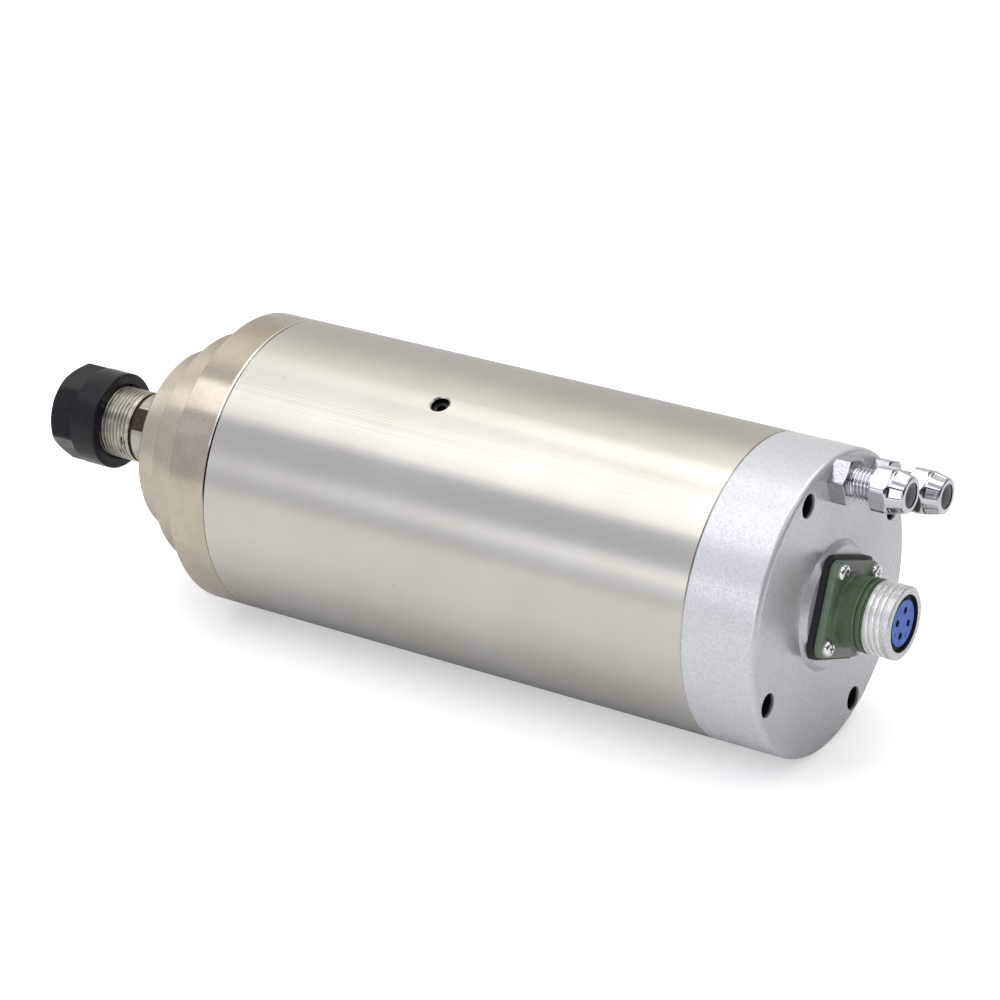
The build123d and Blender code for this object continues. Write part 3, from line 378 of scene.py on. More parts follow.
def hotBlackOxide():
    look = blackOxideLook
    material, tree, place = newMaterial("hotBlackOxide")
    cloud = addNode(tree, "TexNoise", {"Vector": place, "Scale": 1 / (look["cloudMm"] * mm), "Detail": 5.0})
    edges = addNode(tree, "NewGeometry").outputs["Pointiness"]
    wear = addNode(tree, "MapRange", [edges, *look["wornShare"], 0.0, look["wornStrength"]])
    tint = addNode(tree, "MapRange", [cloud, *look["shadeShare"], 0.0, look["shadeStrength"]])
    colour = addNode(tree, "Mix", [tint, look["tone"], look["shade"]], **colours)
    colour = addNode(tree, "Mix", [wear, colour, look["worn"]], **colours)
    rough = look["roughness"]
    shader = addNode(tree, "BsdfPrincipled", {
        "Base Color": colour, "Metallic": 0.6,
        "Normal": addNode(tree, "Bump", {
            "Height": cloud, "Strength": 0.08, "Distance": look["cloudDepth"] * mm,
        }),
        "Roughness": addNode(tree, "MapRange", [cloud, *mostOfNoise, rough - 0.05, rough + 0.06]),
    })
    addNode(tree, "OutputMaterial", {"Surface": shader})
    return material


# Brass, chrome plated: mirror bright over slightly uneven turned faces
chromeLook = {"tone": "#c9cbcf", "roughness": 0.07, "roughSpread": 0.05, "waveMm": 3.846, "waveDepth": 0.01}


def brightChromePlate():
    look = chromeLook
    material, tree, place = newMaterial("brightChromePlate")
    waves = addNode(tree, "TexNoise", {"Vector": place, "Scale": 1 / (look["waveMm"] * mm), "Detail": 1.0})
    rough = look["roughness"]
    shader = addNode(tree, "BsdfPrincipled", {
        "Base Color": look["tone"], "Metallic": 1.0,
        "Normal": addNode(tree, "Bump", {"Height": waves, "Strength": 0.3, "Distance": look["waveDepth"] * mm}),
        "Roughness": addNode(tree, "MapRange", [waves, *mostOfNoise, rough, rough + look["roughSpread"]]),
    })
    addNode(tree, "OutputMaterial", {"Surface": shader})
    return material


# The plainer finishes, each a tone and a second tone in soft clouds over a fine relief
plainLooks = {
    # name: metallic, roughness, tone, second tone, cloud size in mm, relief in mm, coat
    "oliveEnamel": (0.0, 0.36, "#56694f", "#4f6149", 1.2, 0.006, 0.08),  # stoved enamel, half gloss
    "oliveEnamelPaintedSheen": (0.0, 0.42, "#74866f", "#6d7f68", 1.2, 0.006, 0.08),  # a paler, duller copy for the plate's face: painted sheen of the light from the right
    "dullAluminium": (0.6, 0.3, "#f6f6f5", "#ececeb", 1.5, 0.003, 0.0),  # turned, pale with a soft sheen
    "castRim": (0.5, 0.34, "#fafaf9", "#aeaeaf", 0.2, 0.06, 0.0),  # as cast, white and grey in grains
    "castChrome": (1.0, 0.14, "#bcc0c2", "#999c9f", 0.4, 0.14, 0.0),  # plated over rough casting, glittering
    "brownFlatsAndGrooveShade": (0.6, 0.35, "#4a3b33", "#33291f", 0.9, 0.02, 0.0),  # dark brown on the flats; in the relief groove it is painted shade
    "blueMouldedPlastic": (0.0, 0.5, "#4f79da", "#466fcf", 2.0, 0.006, 0.0),  # moulded nylon, even and dull
    "darkBlueMark": (0.0, 0.5, "#1b2d70", "#182864", 1.0, 0.004, 0.0),  # moulded figures, dark and even
    "blackMouldedPlastic": (0.0, 0.6, "#121318", "#1a1b20", 1.0, 0.01, 0.0),  # moulded, nearly no shine
    "blackRubber": (0.0, 0.55, "#17181b", "#202124", 0.8, 0.03, 0.0),  # moulded, a grainy soft black
    "zincPlatedSteel": (1.0, 0.3, "#8f9091", "#777879", 0.9, 0.01, 0.0),  # cloudy grey metal
    "nickelPlatedSteel": (1.0, 0.12, "#f0f0ee", "#dededc", 0.6, 0.02, 0.0),  # bright, a little warm
    "brassInPaintedShade": (1.0, 0.34, "#6b5d42", "#564a34", 0.5, 0.01, 0.0),  # tinned brass, darkened by painted shade deep in the sockets
    "groundBearingSteel": (1.0, 0.14, "#bfc0c2", "#b0b1b3", 1.5, 0.005, 0.0),  # ground to a mirror
    "resinCage": (0.0, 0.5, "#b08a58", "#9f7a4b", 1.5, 0.02, 0.0),  # machined phenolic, honey brown
    "laminatedSteel": (1.0, 0.45, "#77787a", "#68696b", 0.5, 0.03, 0.0),  # stacked sheets, matt grey
    "enamelledCopper": (0.8, 0.3, "#b06a3a", "#8f4f28", 0.8, 0.08, 0.3),  # varnished wire, uneven and glossy
    "turnedAluminium": (1.0, 0.3, "#cfcfcf", "#bdbdbe", 0.8, 0.01, 0.0),  # turned, silky
    "groundColletSteel": (1.0, 0.18, "#bdbbb6", "#adaba6", 0.7, 0.005, 0.0),  # hardened and ground, clean
    "redWireInsulation": (0.0, 0.45, "#a8403a", "#96372f", 1.0, 0.01, 0.0),  # drawn silicone, soft shine
    "shadedBore": (0.0, 0.7, "#b9babc", "#adaeb0", 1.0, 0.01, 0.0),  # unplated bore, matt and pale
    "paintedBlackShade": (0.3, 0.4, "#08090a", "#101113", 0.4, 0.005, 0.0),  # painted shade and dark reflection, black, at flute steps and the bore's mouth
}


# One of the plainer finishes; deepTone, if given, is its colour in front of a place along the axis
def plainFinish(name, deeperThan=None, deepTone=None):
    metallic, roughness, tone, second, cloudMm, reliefMm, coat = plainLooks[name]
    material, tree, place = newMaterial(name)
    cloud = addNode(tree, "TexNoise", {"Vector": place, "Scale": 1 / (cloudMm * mm), "Detail": 3.0})
    tint = addNode(tree, "MapRange", [cloud, *middleOfNoise])
    colour = addNode(tree, "Mix", [tint, tone, second], **colours)
    if deepTone:
        along = addNode(tree, "SeparateXYZ", [place])
        deep = addNode(tree, "Math", [along, deeperThan * mm], operation="LESS_THAN")
        colour = addNode(tree, "Mix", [deep, colour, deepTone], **colours)
    shader = addNode(tree, "BsdfPrincipled", {
        "Base Color": colour, "Metallic": metallic, "Coat Weight": coat,
        "Normal": addNode(tree, "Bump", {"Height": cloud, "Strength": 0.3, "Distance": reliefMm * mm}),
        "Roughness": addNode(tree, "MapRange", [cloud, *mostOfNoise, roughness - 0.04, roughness + 0.06]),
    })
    addNode(tree, "OutputMaterial", {"Surface": shader})
    return material


materials = {
    "ground_steel": polishedStainlessTube(), "nickel_steel": satinNickelPlate(),
    "silver_casting": silverMetallicPaint(), "shaft_steel": groundShaftSteel(),
    "black_oxide": hotBlackOxide(), "chrome_fitting": brightChromePlate(),
}
plainSlots = {
    "green_shell": "oliveEnamel", "black_liner": "blackMouldedPlastic",
    "gasket_rubber": "blackRubber", "screw_steel": "zincPlatedSteel", "bright_screws": "nickelPlatedSteel",
    "contact_brass": "brassInPaintedShade", "bearing_steel": "groundBearingSteel", "cage_resin": "resinCage",
    "core_steel": "laminatedSteel", "winding_copper": "enamelledCopper", "jacket_aluminium": "turnedAluminium",
    "collet_steel": "groundColletSteel", "lead_insulation": "redWireInsulation",
}
for slotName, finish in plainSlots.items():
    materials[slotName] = plainFinish(finish)
# the insert's sockets are dark below their mouths
socketShade = {"tone": "#17204a", "below": 0.3}
mouth = insertFace - socketShade["below"]
materials["blue_insert"] = plainFinish("blueMouldedPlastic", mouth, socketShade["tone"])
dullAluminium = plainFinish("dullAluminium")
castRim = plainFinish("castRim")
castChrome = plainFinish("castChrome")
brownFlatsAndGrooveShade = plainFinish("brownFlatsAndGrooveShade")
shadedBore = plainFinish("shadedBore")
paintedBlackShade = plainFinish("paintedBlackShade")
oliveEnamelPaintedSheen = plainFinish("oliveEnamelPaintedSheen")
darkBlueMark = plainFinish("darkBlueMark")
for name, item in nodes.items():
    item.data.materials.clear()
    item.data.materials.append(materials["black_oxide" if name == "stator_set_screw" else slotOf[name]])
print("finishes:", len(bpy.data.materials), "materials")


# A half section's corners rounded by arcs, as a longer list of (x, radius) points
def rounded(points, radius, steps=4):
    out = [points[0]]
    for i in range(1, len(points) - 1):
        here = np.array(points[i], float)
        a, b = np.array(points[i - 1], float) - here, np.array(points[i + 1], float) - here
        lengthA, lengthB = np.linalg.norm(a), np.linalg.norm(b)
        reach = min(radius, 0.45 * lengthA, 0.45 * lengthB)
        start, end = here + a / lengthA * reach, here + b / lengthB * reach
        for k in range(steps + 1):
            t = k / steps
            out.append(tuple((1 - t) ** 2 * start + 2 * t * (1 - t) * here + t * t * end))
    return out + [points[-1]]


# The stretch of a section between two x places, cut into short steps so that a shape can follow it
def finer(points, step, low=-1e9, high=1e9):
    out = [points[0]]
    for a, b in zip(points, points[1:]):
        inside = max(a[0], b[0]) > low and min(a[0], b[0]) < high
        pieces = max(1, math.ceil(math.dist(a, b) / step)) if inside else 1
        for k in range(1, pieces + 1):
            t = k / pieces
            out.append((a[0] + (b[0] - a[0]) * t, a[1] + (b[1] - a[1]) * t))
    return out


# A piece turned about an axis along x; shape(x, angle, radius) may change each radius
def turnedPiece(name, section, segments, material, node, shape=None, axis=(0.0, 0.0), sharp=35.0):
    angles = np.arange(segments) * 2 * math.pi / segments
    x = np.array([p[0] for p in section])[:, None]
    r = np.array([p[1] for p in section])[:, None] + 0 * angles[None, :]
    if shape:
        r = shape(x + 0 * r, angles[None, :] + 0 * r, r)
    points = np.stack([x + 0 * r, axis[0] + r * np.cos(angles), axis[1] + r * np.sin(angles)], -1) * mm
    quads = []
    for i in range(len(section) - 1):
        here, there = i * segments, (i + 1) * segments
        for k in range(segments):
            m = (k + 1) % segments
            quads.append((here + k, here + m, there + m, there + k))
    mesh = bpy.data.meshes.new(name)
    mesh.from_pydata([tuple(p) for p in points.reshape(-1, 3)], [], quads)
    return finishPiece(mesh, name, material, node, sharp)


# A mesh cleaned, shaded smooth up to its sharp edges, and put in place of the solid it dresses
def finishPiece(mesh, name, material, node, sharp=35.0):
    work = bmesh.new()
    work.from_mesh(mesh)
    bmesh.ops.remove_doubles(work, verts=work.verts, dist=1e-7)
    bmesh.ops.recalc_face_normals(work, faces=work.faces)
    work.to_mesh(mesh)
    work.free()
    mesh.shade_smooth()
    mesh.set_sharp_from_angle(angle=math.radians(sharp))
    piece = bpy.data.objects.new(name, mesh)
    bpy.context.scene.collection.objects.link(piece)
    mesh.materials.append(material)
    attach(piece, bodyOf[node])
    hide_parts(node)
    return piece


# The smaller of two radii with the corner between them eased over a width
def eased(a, b, width):
    h = np.clip(0.5 + 0.5 * (b - a) / width, 0, 1)
    return b * (1 - h) + a * h - width * h * (1 - h)


# The radius of a regular hexagon's edge at an angle, its first corner at cornerAngle
def hexagonRadius(angle, flats, cornerAngle):
    turn = (angle - cornerAngle) % (math.pi / 3) - math.pi / 6
    return flats / 2 / np.cos(turn)


# A screw thread's depth below its crest: a broad rounded crest and a groove that takes part of the pitch
def threadDepth(x, angle, pitch, depth, groove=0.6):
    phase = (x / pitch - angle / (2 * math.pi)) % 1.0
    across = np.clip(np.abs(2 * phase - 1) / groove, 0, 1)
    return depth * (0.5 + 0.5 * np.cos(math.pi * across))


# Shaft: the threaded nose, relief groove and spanner flats; the rest is inside
def shaftShape(x, angle, radius):
    s = shaftSizes
    end = shaftNose + s["threadLength"]
    outside = radius > s["taperMouth"] + 0.3
    # the thread fades in behind the nose's chamfer and out before the groove
    fade = np.clip((x - shaftNose - 0.3) / 1.0, 0, 1) * np.clip((end - 0.4 - x) / 0.8, 0, 1)
    threaded = radius - threadDepth(x, angle, s["pitch"], s["threadDepth"], 0.5) * fade
    radius = np.where(outside & (x > shaftNose) & (x < end), threaded, radius)
    flat = s["flatWidth"] / 2 / np.maximum(np.abs(np.cos(angle - math.radians(s["flatAngle"]))), 0.2)
    onFlat = (x > end + s["relief"] - 0.2) & (x < capFront + 2) & (radius > s["radius"] - 1.0)
    return np.where(onFlat, eased(radius, flat, 0.15), radius)


def makeShaft():
    s = shaftSizes
    end = shaftNose + s["threadLength"]
    grooveEnd = end + s["relief"]
    r, chamfer = s["radius"], s["noseChamfer"]
    seat, tail = s["rotorSeat"], s["tail"] - 0.02
    tip = shaftNose + s["taperLength"]
    shoulderFrom, shoulderTo = capFront + s["shoulderFrom"], capFront + s["shoulderTo"]
    section = [
        (tip + s["boreDepth"], 0),
        (tip, s["taperMouth"] - s["taperLength"] * math.tan(math.radians(s["taperAngle"]))),
        (shaftNose, s["taperMouth"]), (shaftNose, r - chamfer), (shaftNose + chamfer, r), (end, r),
        (end, r - s["reliefDepth"]), (grooveEnd, r - s["reliefDepth"]), (grooveEnd, r),
        (shoulderFrom, r), (shoulderFrom, s["shoulder"]), (shoulderTo, s["shoulder"]),
        (shoulderTo, seat), (s["rotorSeatEnd"], seat), (s["rotorSeatEnd"], tail),
        (shaftTail - 0.5, tail), (shaftTail, s["tail"] - 0.5), (shaftTail, 0),
    ]
    section = finer(rounded(section, 0.12), 0.12, shaftNose - 1, capFront + 3)
    piece = turnedPiece("spindleShaft", section, 240, materials["shaft_steel"], "shaft", shaftShape, sharp=50)
    piece.data.materials.append(brownFlatsAndGrooveShade)
    flat = math.radians(s["flatAngle"])
    for face in piece.data.polygons:
        facing = abs(face.normal.y * math.cos(flat) + face.normal.z * math.sin(flat))
        place = face.center.x / mm
        onFlat = grooveEnd < place < capFront + 2 and facing > 0.9995
        # the flats are dark brown, and the relief groove gets the same colour as painted shade
        face.material_index = int(onFlat or end < place < grooveEnd)


makeShaft()
print("shaft made")

# Collet nut: a hexagon at the front, turned round behind, chamfered corners; a lip inside draws the collet
nutSizes = {
    "radius": 17.0, "frontRadius": 15.1, "frontChamfer": 1.7, "flats": 30.0, "flatLength": 10.0, "corner": 11.0,
    "mouth": 9.15, "coneLength": 2.5, "bore": 12.6, "boreChamfer": 0.9, "edge": 0.6, "lipFrom": 3.8,
    "lipWidth": 1.4, "lipRadius": 9.6, "lipSeat": 10.8, "threadFrom": 2.3,
}


def nutShape(x, angle, radius):
    s = nutSizes
    # the cutter leaves a short run out where the flats end
    lift = np.clip((x - (nutFront + s["flatLength"])) / 0.35, 0, 4) ** 2 * 2
    flat = hexagonRadius(angle, s["flats"], math.radians(s["corner"])) + lift
    return np.where(radius > 14.0, eased(radius, flat, 0.18), radius)


def makeColletNut():
    s = nutSizes
    lipFront = nutFront + s["lipFrom"]
    lipBack = lipFront + s["lipWidth"]
    section = [
        (nutFront, s["mouth"]), (nutFront, s["frontRadius"]), (nutFront + s["frontChamfer"], s["radius"]),
        (nutBack - s["edge"], s["radius"]), (nutBack, s["radius"] - s["edge"]),
        (nutBack, s["bore"] + s["boreChamfer"]), (nutBack - s["boreChamfer"], s["bore"]),
        (lipFront + s["threadFrom"], s["bore"]), (lipBack, s["lipSeat"]), (lipBack, s["lipRadius"]),
        (lipFront, s["lipRadius"]), (lipFront, s["lipSeat"]), (nutFront + s["coneLength"], s["lipSeat"] - 0.15),
        (nutFront, s["mouth"]),
    ]
    section = finer(rounded(section, 0.25), 0.25, nutFront, nutBack)
    turnedPiece("clampingNut", section, 288, materials["black_oxide"], "collet_nut", nutShape, sharp=40)


makeColletNut()
print("collet nut made")


# A place on the rear cover, from its own (right, up) in millimetres to (y, z)
def onCover(right, up):
    c, s = math.cos(bodyRoll), math.sin(bodyRoll)
    return right * c + up * s, -right * s + up * c


# Hose fittings and their nuts
fittingSizes = {
    "spacing": 27.4, "up": 40.1, "hexFlats": 14.0, "hexLength": 5.7, "hexRadius": 8.0, "hexChamfer": 0.5,
    "hexTopRadius": 6.95, "threadRadius": 5.0, "threadDepth": 0.65, "pitch": 1.25, "footRadius": 4.8,
    "footDepth": 7.5, "stemRadius": 2.9, "stemBore": 1.9, "barbLength": 2.4, "barbHeight": 0.4,
}
hoseNutSizes = {
    "flats": 14.0, "hexPart": 5.2, "hexRadius": 7.7, "chamfer": 0.6, "neck": 0.9, "shoulder": 7.0, "nose": 5.8,
    "bore": 4.0, "land": 4.0, "threadBore": 5.1, "fluteHalf": 15.0, "fluteDepth": 0.07,
}
fittingTurns = {"inlet": (-1, 10.0, 3.0), "outlet": (1, 0.0, 0.0)}  # side, body turn, nut turn in degrees


def fittingAxis(side):
    return onCover(fittingTurns[side][0] * fittingSizes["spacing"] / 2, fittingSizes["up"])


# The fitting: a cast hexagon, a threaded stem and the barb that the hose is pushed over
def makeFittingBody(side):
    s = fittingSizes
    foot, hexTop = coverBack - s["footDepth"], coverBack + s["hexLength"]
    threadEnd = hoseNutStart + 2.9
    stemTip = hoseNutEnd - hoseNutSizes["land"] - 0.4
    barb = stemTip - s["barbLength"]
    corner = math.radians(fittingTurns[side][1]) - bodyRoll

    def bodyShape(x, angle, radius):
        hexagon = hexagonRadius(angle, s["hexFlats"], corner)
        onHexagon = (x > coverBack - 0.01) & (x < hexTop + 0.01) & (radius > 5.6)
        radius = np.where(onHexagon, eased(radius, hexagon, 0.25), radius)
        onThread = (x > hexTop + 0.3) & (x < hoseNutStart + 3) & (radius > 4.0) & (radius < 5.2)
        fade = np.clip((x - hexTop - 0.7) / 0.8, 0, 1)
        thread = radius - threadDepth(x, angle, s["pitch"], s["threadDepth"]) * fade
        return np.where(onThread, thread, radius)

    section = [
        (foot, s["stemBore"]), (foot, s["footRadius"]), (coverBack + 0.02, s["footRadius"]),
        (coverBack + 0.02, s["hexRadius"] - 0.4), (coverBack + 0.3, s["hexRadius"]),
        (hexTop - s["hexChamfer"], s["hexRadius"]), (hexTop, s["hexTopRadius"]), (hexTop, s["threadRadius"]),
        (threadEnd, s["threadRadius"]), (threadEnd, s["stemRadius"]), (barb, s["stemRadius"]),
        (barb, s["stemRadius"] + s["barbHeight"]), (stemTip, s["stemRadius"]), (stemTip, s["stemBore"]),
        (foot, s["stemBore"]),
    ]
    section = finer(rounded(section, 0.15, 3), 0.14, coverBack - 0.5, hoseNutStart + 3)
    piece = turnedPiece(side + "FittingBody", section, 144, materials["chrome_fitting"], side + "_fitting",
                        bodyShape, fittingAxis(side), 50)
    piece.data.materials.append(castChrome)
    for face in piece.data.polygons:
        face.material_index = int(coverBack + 0.3 < face.center.x / mm < hexTop + 0.05)


# Its clamping nut: a hexagon and a cone with six shallow flutes, one behind each corner
def makeHoseNut(side):
    s = hoseNutSizes
    axis = fittingAxis(side)
    nutCorner = math.radians(fittingTurns[side][2]) - bodyRoll
    hexEnd = hoseNutStart + s["hexPart"]
    coneStart = hexEnd + s["neck"]
    sixth = math.pi / 3
    halfFlute = math.radians(s["fluteHalf"])

    def hoseNutShape(x, angle, radius):
        outer = (radius > s["threadBore"] + 0.05) & (x > hoseNutStart - 0.01)
        hexagon = hexagonRadius(angle, s["flats"], nutCorner)
        radius = np.where(outer & (x < coneStart + 0.5), eased(radius, hexagon, 0.3), radius)
        turn = np.abs((angle - nutCorner + sixth / 2) % sixth - sixth / 2)
        across = np.clip((halfFlute - turn) / math.radians(3.0), 0, 1)
        along = np.clip((x - coneStart - 0.2) / 0.5, 0, 1) * np.clip((hoseNutEnd - 0.55 - x) / 0.35, 0, 1)
        chord = radius * (1 - np.cos(halfFlute) / np.cos(np.minimum(turn, halfFlute)))
        return np.where(outer, radius - (chord + s["fluteDepth"]) * across * along, radius)

    section = [
        (hoseNutStart, s["threadBore"]), (hoseNutStart, s["hexRadius"] - s["chamfer"]),
        (hoseNutStart + s["chamfer"], s["hexRadius"]), (hexEnd, s["hexRadius"]), (coneStart, s["shoulder"]),
        (hoseNutEnd - 0.35, s["nose"]), (hoseNutEnd, s["nose"] - 0.4), (hoseNutEnd, s["bore"]),
        (hoseNutEnd - s["land"], s["bore"]), (hoseNutEnd - s["land"] - 0.4, s["threadBore"]),
        (hoseNutStart, s["threadBore"]),
    ]
    section = finer(rounded(section, 0.22, 4), 0.16, hoseNutStart - 0.5, hoseNutEnd + 0.5)
    piece = turnedPiece(side + "HoseNut", section, 240, materials["chrome_fitting"], side + "_hose_nut",
                        hoseNutShape, axis, 50)
    piece.data.materials.append(shadedBore)
    piece.data.materials.append(paintedBlackShade)
    for face in piece.data.polygons:
        centre = face.center / mm
        reach = math.hypot(centre.y - axis[0], centre.z - axis[1])
        turn = math.atan2(centre.z - axis[1], centre.y - axis[0]) - nutCorner
        turn = math.degrees((turn + sixth / 2) % sixth - sixth / 2)
        inHoseBore = reach < s["bore"] + 0.05
        inThreadBore = reach < s["threadBore"] + 0.01 and centre.x < hoseNutEnd - s["land"] + 0.1
        onCone = coneStart + 0.1 < centre.x < hoseNutEnd - 0.5 and reach > 5.2
        # the bores are matt; a black ring of painted shade lines the mouth
        if inHoseBore or inThreadBore:
            face.material_index = 2 if centre.x > hoseNutEnd - 0.6 else 1
        elif onCone and centre.z - axis[1] < 0.75 * reach:
            # painted shade and dark reflection: the step at a side flute's upper edge and foot is painted
            # black; the upper flutes, lit from above, stay chrome
            upper = -17.0 < turn < -13.0
            foot = centre.x < coneStart + 0.5 and -17.0 < turn < 13.0
            face.material_index = 2 if upper or foot else 0


for side in fittingTurns:
    makeFittingBody(side)
    makeHoseNut(side)
print("hose fittings made")

# Connector shell: flange plate, barrel with two grooves, threaded coupling ring
shellSizes = {
    "plateSide": 30.8, "plateCorner": 3.5, "plateThickness": 2.5, "edge": 0.45, "barrelRadius": 11.6,
    "barrelLength": 9.9, "collarRadius": 12.0, "collarLength": 3.9, "grooveWidth": 0.8, "grooveDepth": 0.8,
    "ringRadius": 11.86, "ringBore": 9.2, "threadPitch": 2.0, "threadDepth": 1.05, "threadShift": 1.59,
    "rim": 2.1, "fillet": 1.2,
}


def makeShell():
    s = shellSizes
    plateTop = plateFoot + s["plateThickness"]
    barrelTop = plateTop + s["barrelLength"]
    collarStart = barrelTop - s["collarLength"]
    middle = collarStart + s["collarLength"] / 2
    firstGroove, secondGroove = middle - s["grooveWidth"], barrelTop - s["grooveWidth"]
    ring, bore = s["ringRadius"], s["ringBore"]
    collar, barrel = s["collarRadius"], s["barrelRadius"]
    floor = collar - s["grooveDepth"]
    section = [
        (plateTop - 0.1, bore), (plateTop - 0.1, barrel + s["fillet"]), (plateTop + 0.35, barrel + 0.4),
        (plateTop + s["fillet"], barrel), (collarStart, barrel), (collarStart, collar),
        (firstGroove, collar), (firstGroove, floor), (middle, floor), (middle, collar),
        (secondGroove, collar), (secondGroove, floor), (barrelTop, floor),
        (barrelTop, bore), (plateTop - 0.1, bore),
    ]
    turnedPiece("connectorBarrel", rounded(section, 0.3, 3), 160, materials["green_shell"], "connector_shell",
                sharp=50)

    def ringShape(x, angle, radius):
        fade = np.clip((x - barrelTop - 0.2) / 0.4, 0, 1) * np.clip((ringEnd - s["rim"] - x) / 0.4, 0, 1)
        cut = threadDepth(x - barrelTop + s["threadShift"], angle, s["threadPitch"], s["threadDepth"], 0.65)
        return np.where(radius > ring - 0.8, radius - cut * fade, radius)

    section = [
        (barrelTop, bore), (barrelTop, ring - 0.3), (barrelTop + 0.3, ring), (ringEnd - 0.5, ring),
        (ringEnd, ring - 0.5), (ringEnd, bore + 0.2), (ringEnd - 0.2, bore), (barrelTop, bore),
    ]
    section = finer(rounded(section, 0.25, 3), 0.12)
    piece = turnedPiece("couplingRing", section, 180, dullAluminium, "connector_shell", ringShape, sharp=50)
    piece.data.materials.append(castRim)
    piece.data.materials.append(materials["black_liner"])
    for face in piece.data.polygons:
        centre = face.center / mm
        # the ring's own bore is given the black liner's finish: painted shade
        inside = math.hypot(centre.y, centre.z) < bore + 0.1
        face.material_index = 2 if inside else int(centre.x > ringEnd - s["rim"])
    makePlate("connectorPlate", plateFoot, plateTop)


# The square plate, its outline rounded at the corners and its front edge eased
def makePlate(name, foot, top):
    s = shellSizes
    half, corner, edge = s["plateSide"] / 2, s["plateCorner"], s["edge"]
    outline = []
    for quarter in range(4):
        for k in range(9):
            a = math.pi / 2 * (quarter + k / 8)
            cx = (half - corner) * (1 if quarter in (0, 3) else -1)
            cy = (half - corner) * (1 if quarter in (0, 1) else -1)
            outline.append((cx, cy, math.cos(a), math.sin(a)))
    rings = [(foot, 0.15), (foot + 0.15, 0.0), (top - edge, 0.0)]
    for a in (0.4, 0.8, 1.2, math.pi / 2):
        rings.append((top - edge + edge * math.sin(a), edge * (1 - math.cos(a))))
    points, faces = [], []
    for x, inset in rings:
        for cx, cy, dx, dy in outline:
            y, z = onCover(cx + (corner - inset) * dx, cy + (corner - inset) * dy)
            points.append((x * mm, y * mm, z * mm))
    n = len(outline)
    for i in range(len(rings) - 1):
        for k in range(n):
            m = (k + 1) % n
            faces.append((i * n + k, i * n + m, (i + 1) * n + m, (i + 1) * n + k))
    faces.append(tuple(range(n))[::-1])
    faces.append(tuple((len(rings) - 1) * n + k for k in range(n)))
    mesh = bpy.data.meshes.new(name)
    mesh.from_pydata(points, [], faces)
    # the plate wears the paler copy of the enamel: painted sheen
    finishPiece(mesh, name, oliveEnamelPaintedSheen, "connector_shell")


makeShell()

# Small raised numbers beside the sockets, between them at an even radius
numberSizes = {"height": 1.7, "radius": 5.5, "raise": 0.03, "first": 135.0, "count": 4}


def makeSocketNumbers():
    s = numberSizes
    for count in range(s["count"]):
        angle = math.radians(s["first"] - count * 360 / s["count"])
        y, z = onCover(s["radius"] * math.cos(angle), s["radius"] * math.sin(angle))
        letters = bpy.data.curves.new("socketNumber", "FONT")
        letters.body = str(count + 1)
        letters.size = s["height"] * mm
        letters.extrude = s["raise"] * mm
        letters.align_x, letters.align_y = "CENTER", "CENTER"
        shape = bpy.data.objects.new("socketNumberShape", letters)
        bpy.context.scene.collection.objects.link(shape)
        bpy.context.view_layer.update()
        mesh = bpy.data.meshes.new_from_object(shape.evaluated_get(bpy.context.evaluated_depsgraph_get()))
        bpy.data.objects.remove(shape)
        right, up = Vector((0, *onCover(1, 0))), Vector((0, *onCover(0, 1)))
        turn = Matrix((right, up, right.cross(up))).transposed().to_4x4()
        mesh.transform(Matrix.Translation((insertFace * mm, y * mm, z * mm)) @ turn)
        mesh.materials.clear()
        mesh.materials.append(darkBlueMark)
        piece = bpy.data.objects.new("socketNumber" + str(count + 1), mesh)
        bpy.context.scene.collection.objects.link(piece)
        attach(piece, bodyOf["connector_insert"])


makeSocketNumbers()
print("connector made")

# The floor: plain white paper, lit to white in the picture, with the object's own shadow on it
floorSizes = {"half": 6.0, "rest": -50.0, "tone": "#f4f4f4", "glow": 0.43}


def makeFloor():
    s = floorSizes
    h, z = s["half"], s["rest"] * mm
    mesh = bpy.data.meshes.new("studioFloor")
    mesh.from_pydata([(-h, -h, z), (h, -h, z), (h, h, z), (-h, h, z)], [], [(0, 1, 2, 3)])
    floor = bpy.data.objects.new("studioFloor", mesh)
    bpy.context.scene.collection.objects.link(floor)
    material, tree, place = newMaterial("whitePaperSweep")
    seen = addNode(tree, "LightPath").outputs["Is Camera Ray"]
    shader = addNode(tree, "BsdfPrincipled", {
        "Base Color": s["tone"], "Roughness": 0.9, "Specular IOR Level": 0.0, "Emission Color": "#ffffff",
        "Emission Strength": addNode(tree, "Math", [seen, s["glow"]], operation="MULTIPLY"),
    })
    addNode(tree, "OutputMaterial", {"Surface": shader})
    mesh.materials.append(material)


makeFloor()

# Studio light: soft boxes overhead and two low strips at the front, the rest from pale walls
lampSizes = {
    # name: place and size in metres, turn in degrees, radiance
    "overheadFront": ((-0.246, -0.492, 1.0), (0.8, 0.8), (0, 0, -15.5), 1.46),
    "overheadNose": ((-0.763, -0.533, 1.0), (0.27, 0.58), (0, 0, -15.5), 1.35),
    "overheadBack": ((-0.05, 0.07, 1.02), (0.8, 0.3), (0, 0, -15.5), 1.0),
    "overheadRight": ((0.22, 0.35, 1.01), (0.6, 0.9), (0, 0, 0), 1.5),
    "nutLight": ((0.36, -0.85, 1.0), (0.35, 0.6), (0, 0, 0), 1.05),
    "edgeLight": ((1.05, 0.05, 1.0), (0.5, 0.9), (0, 30, 0), 1.25),
    "lowStrip": ((-0.17, -0.95, 0.3), (0.5, 0.22), (90, 0, 0), 1.3),
    "frontStrip": ((0.22, -0.95, 0.19), (0.56, 0.3), (90, 0, 0), 1.5),
}


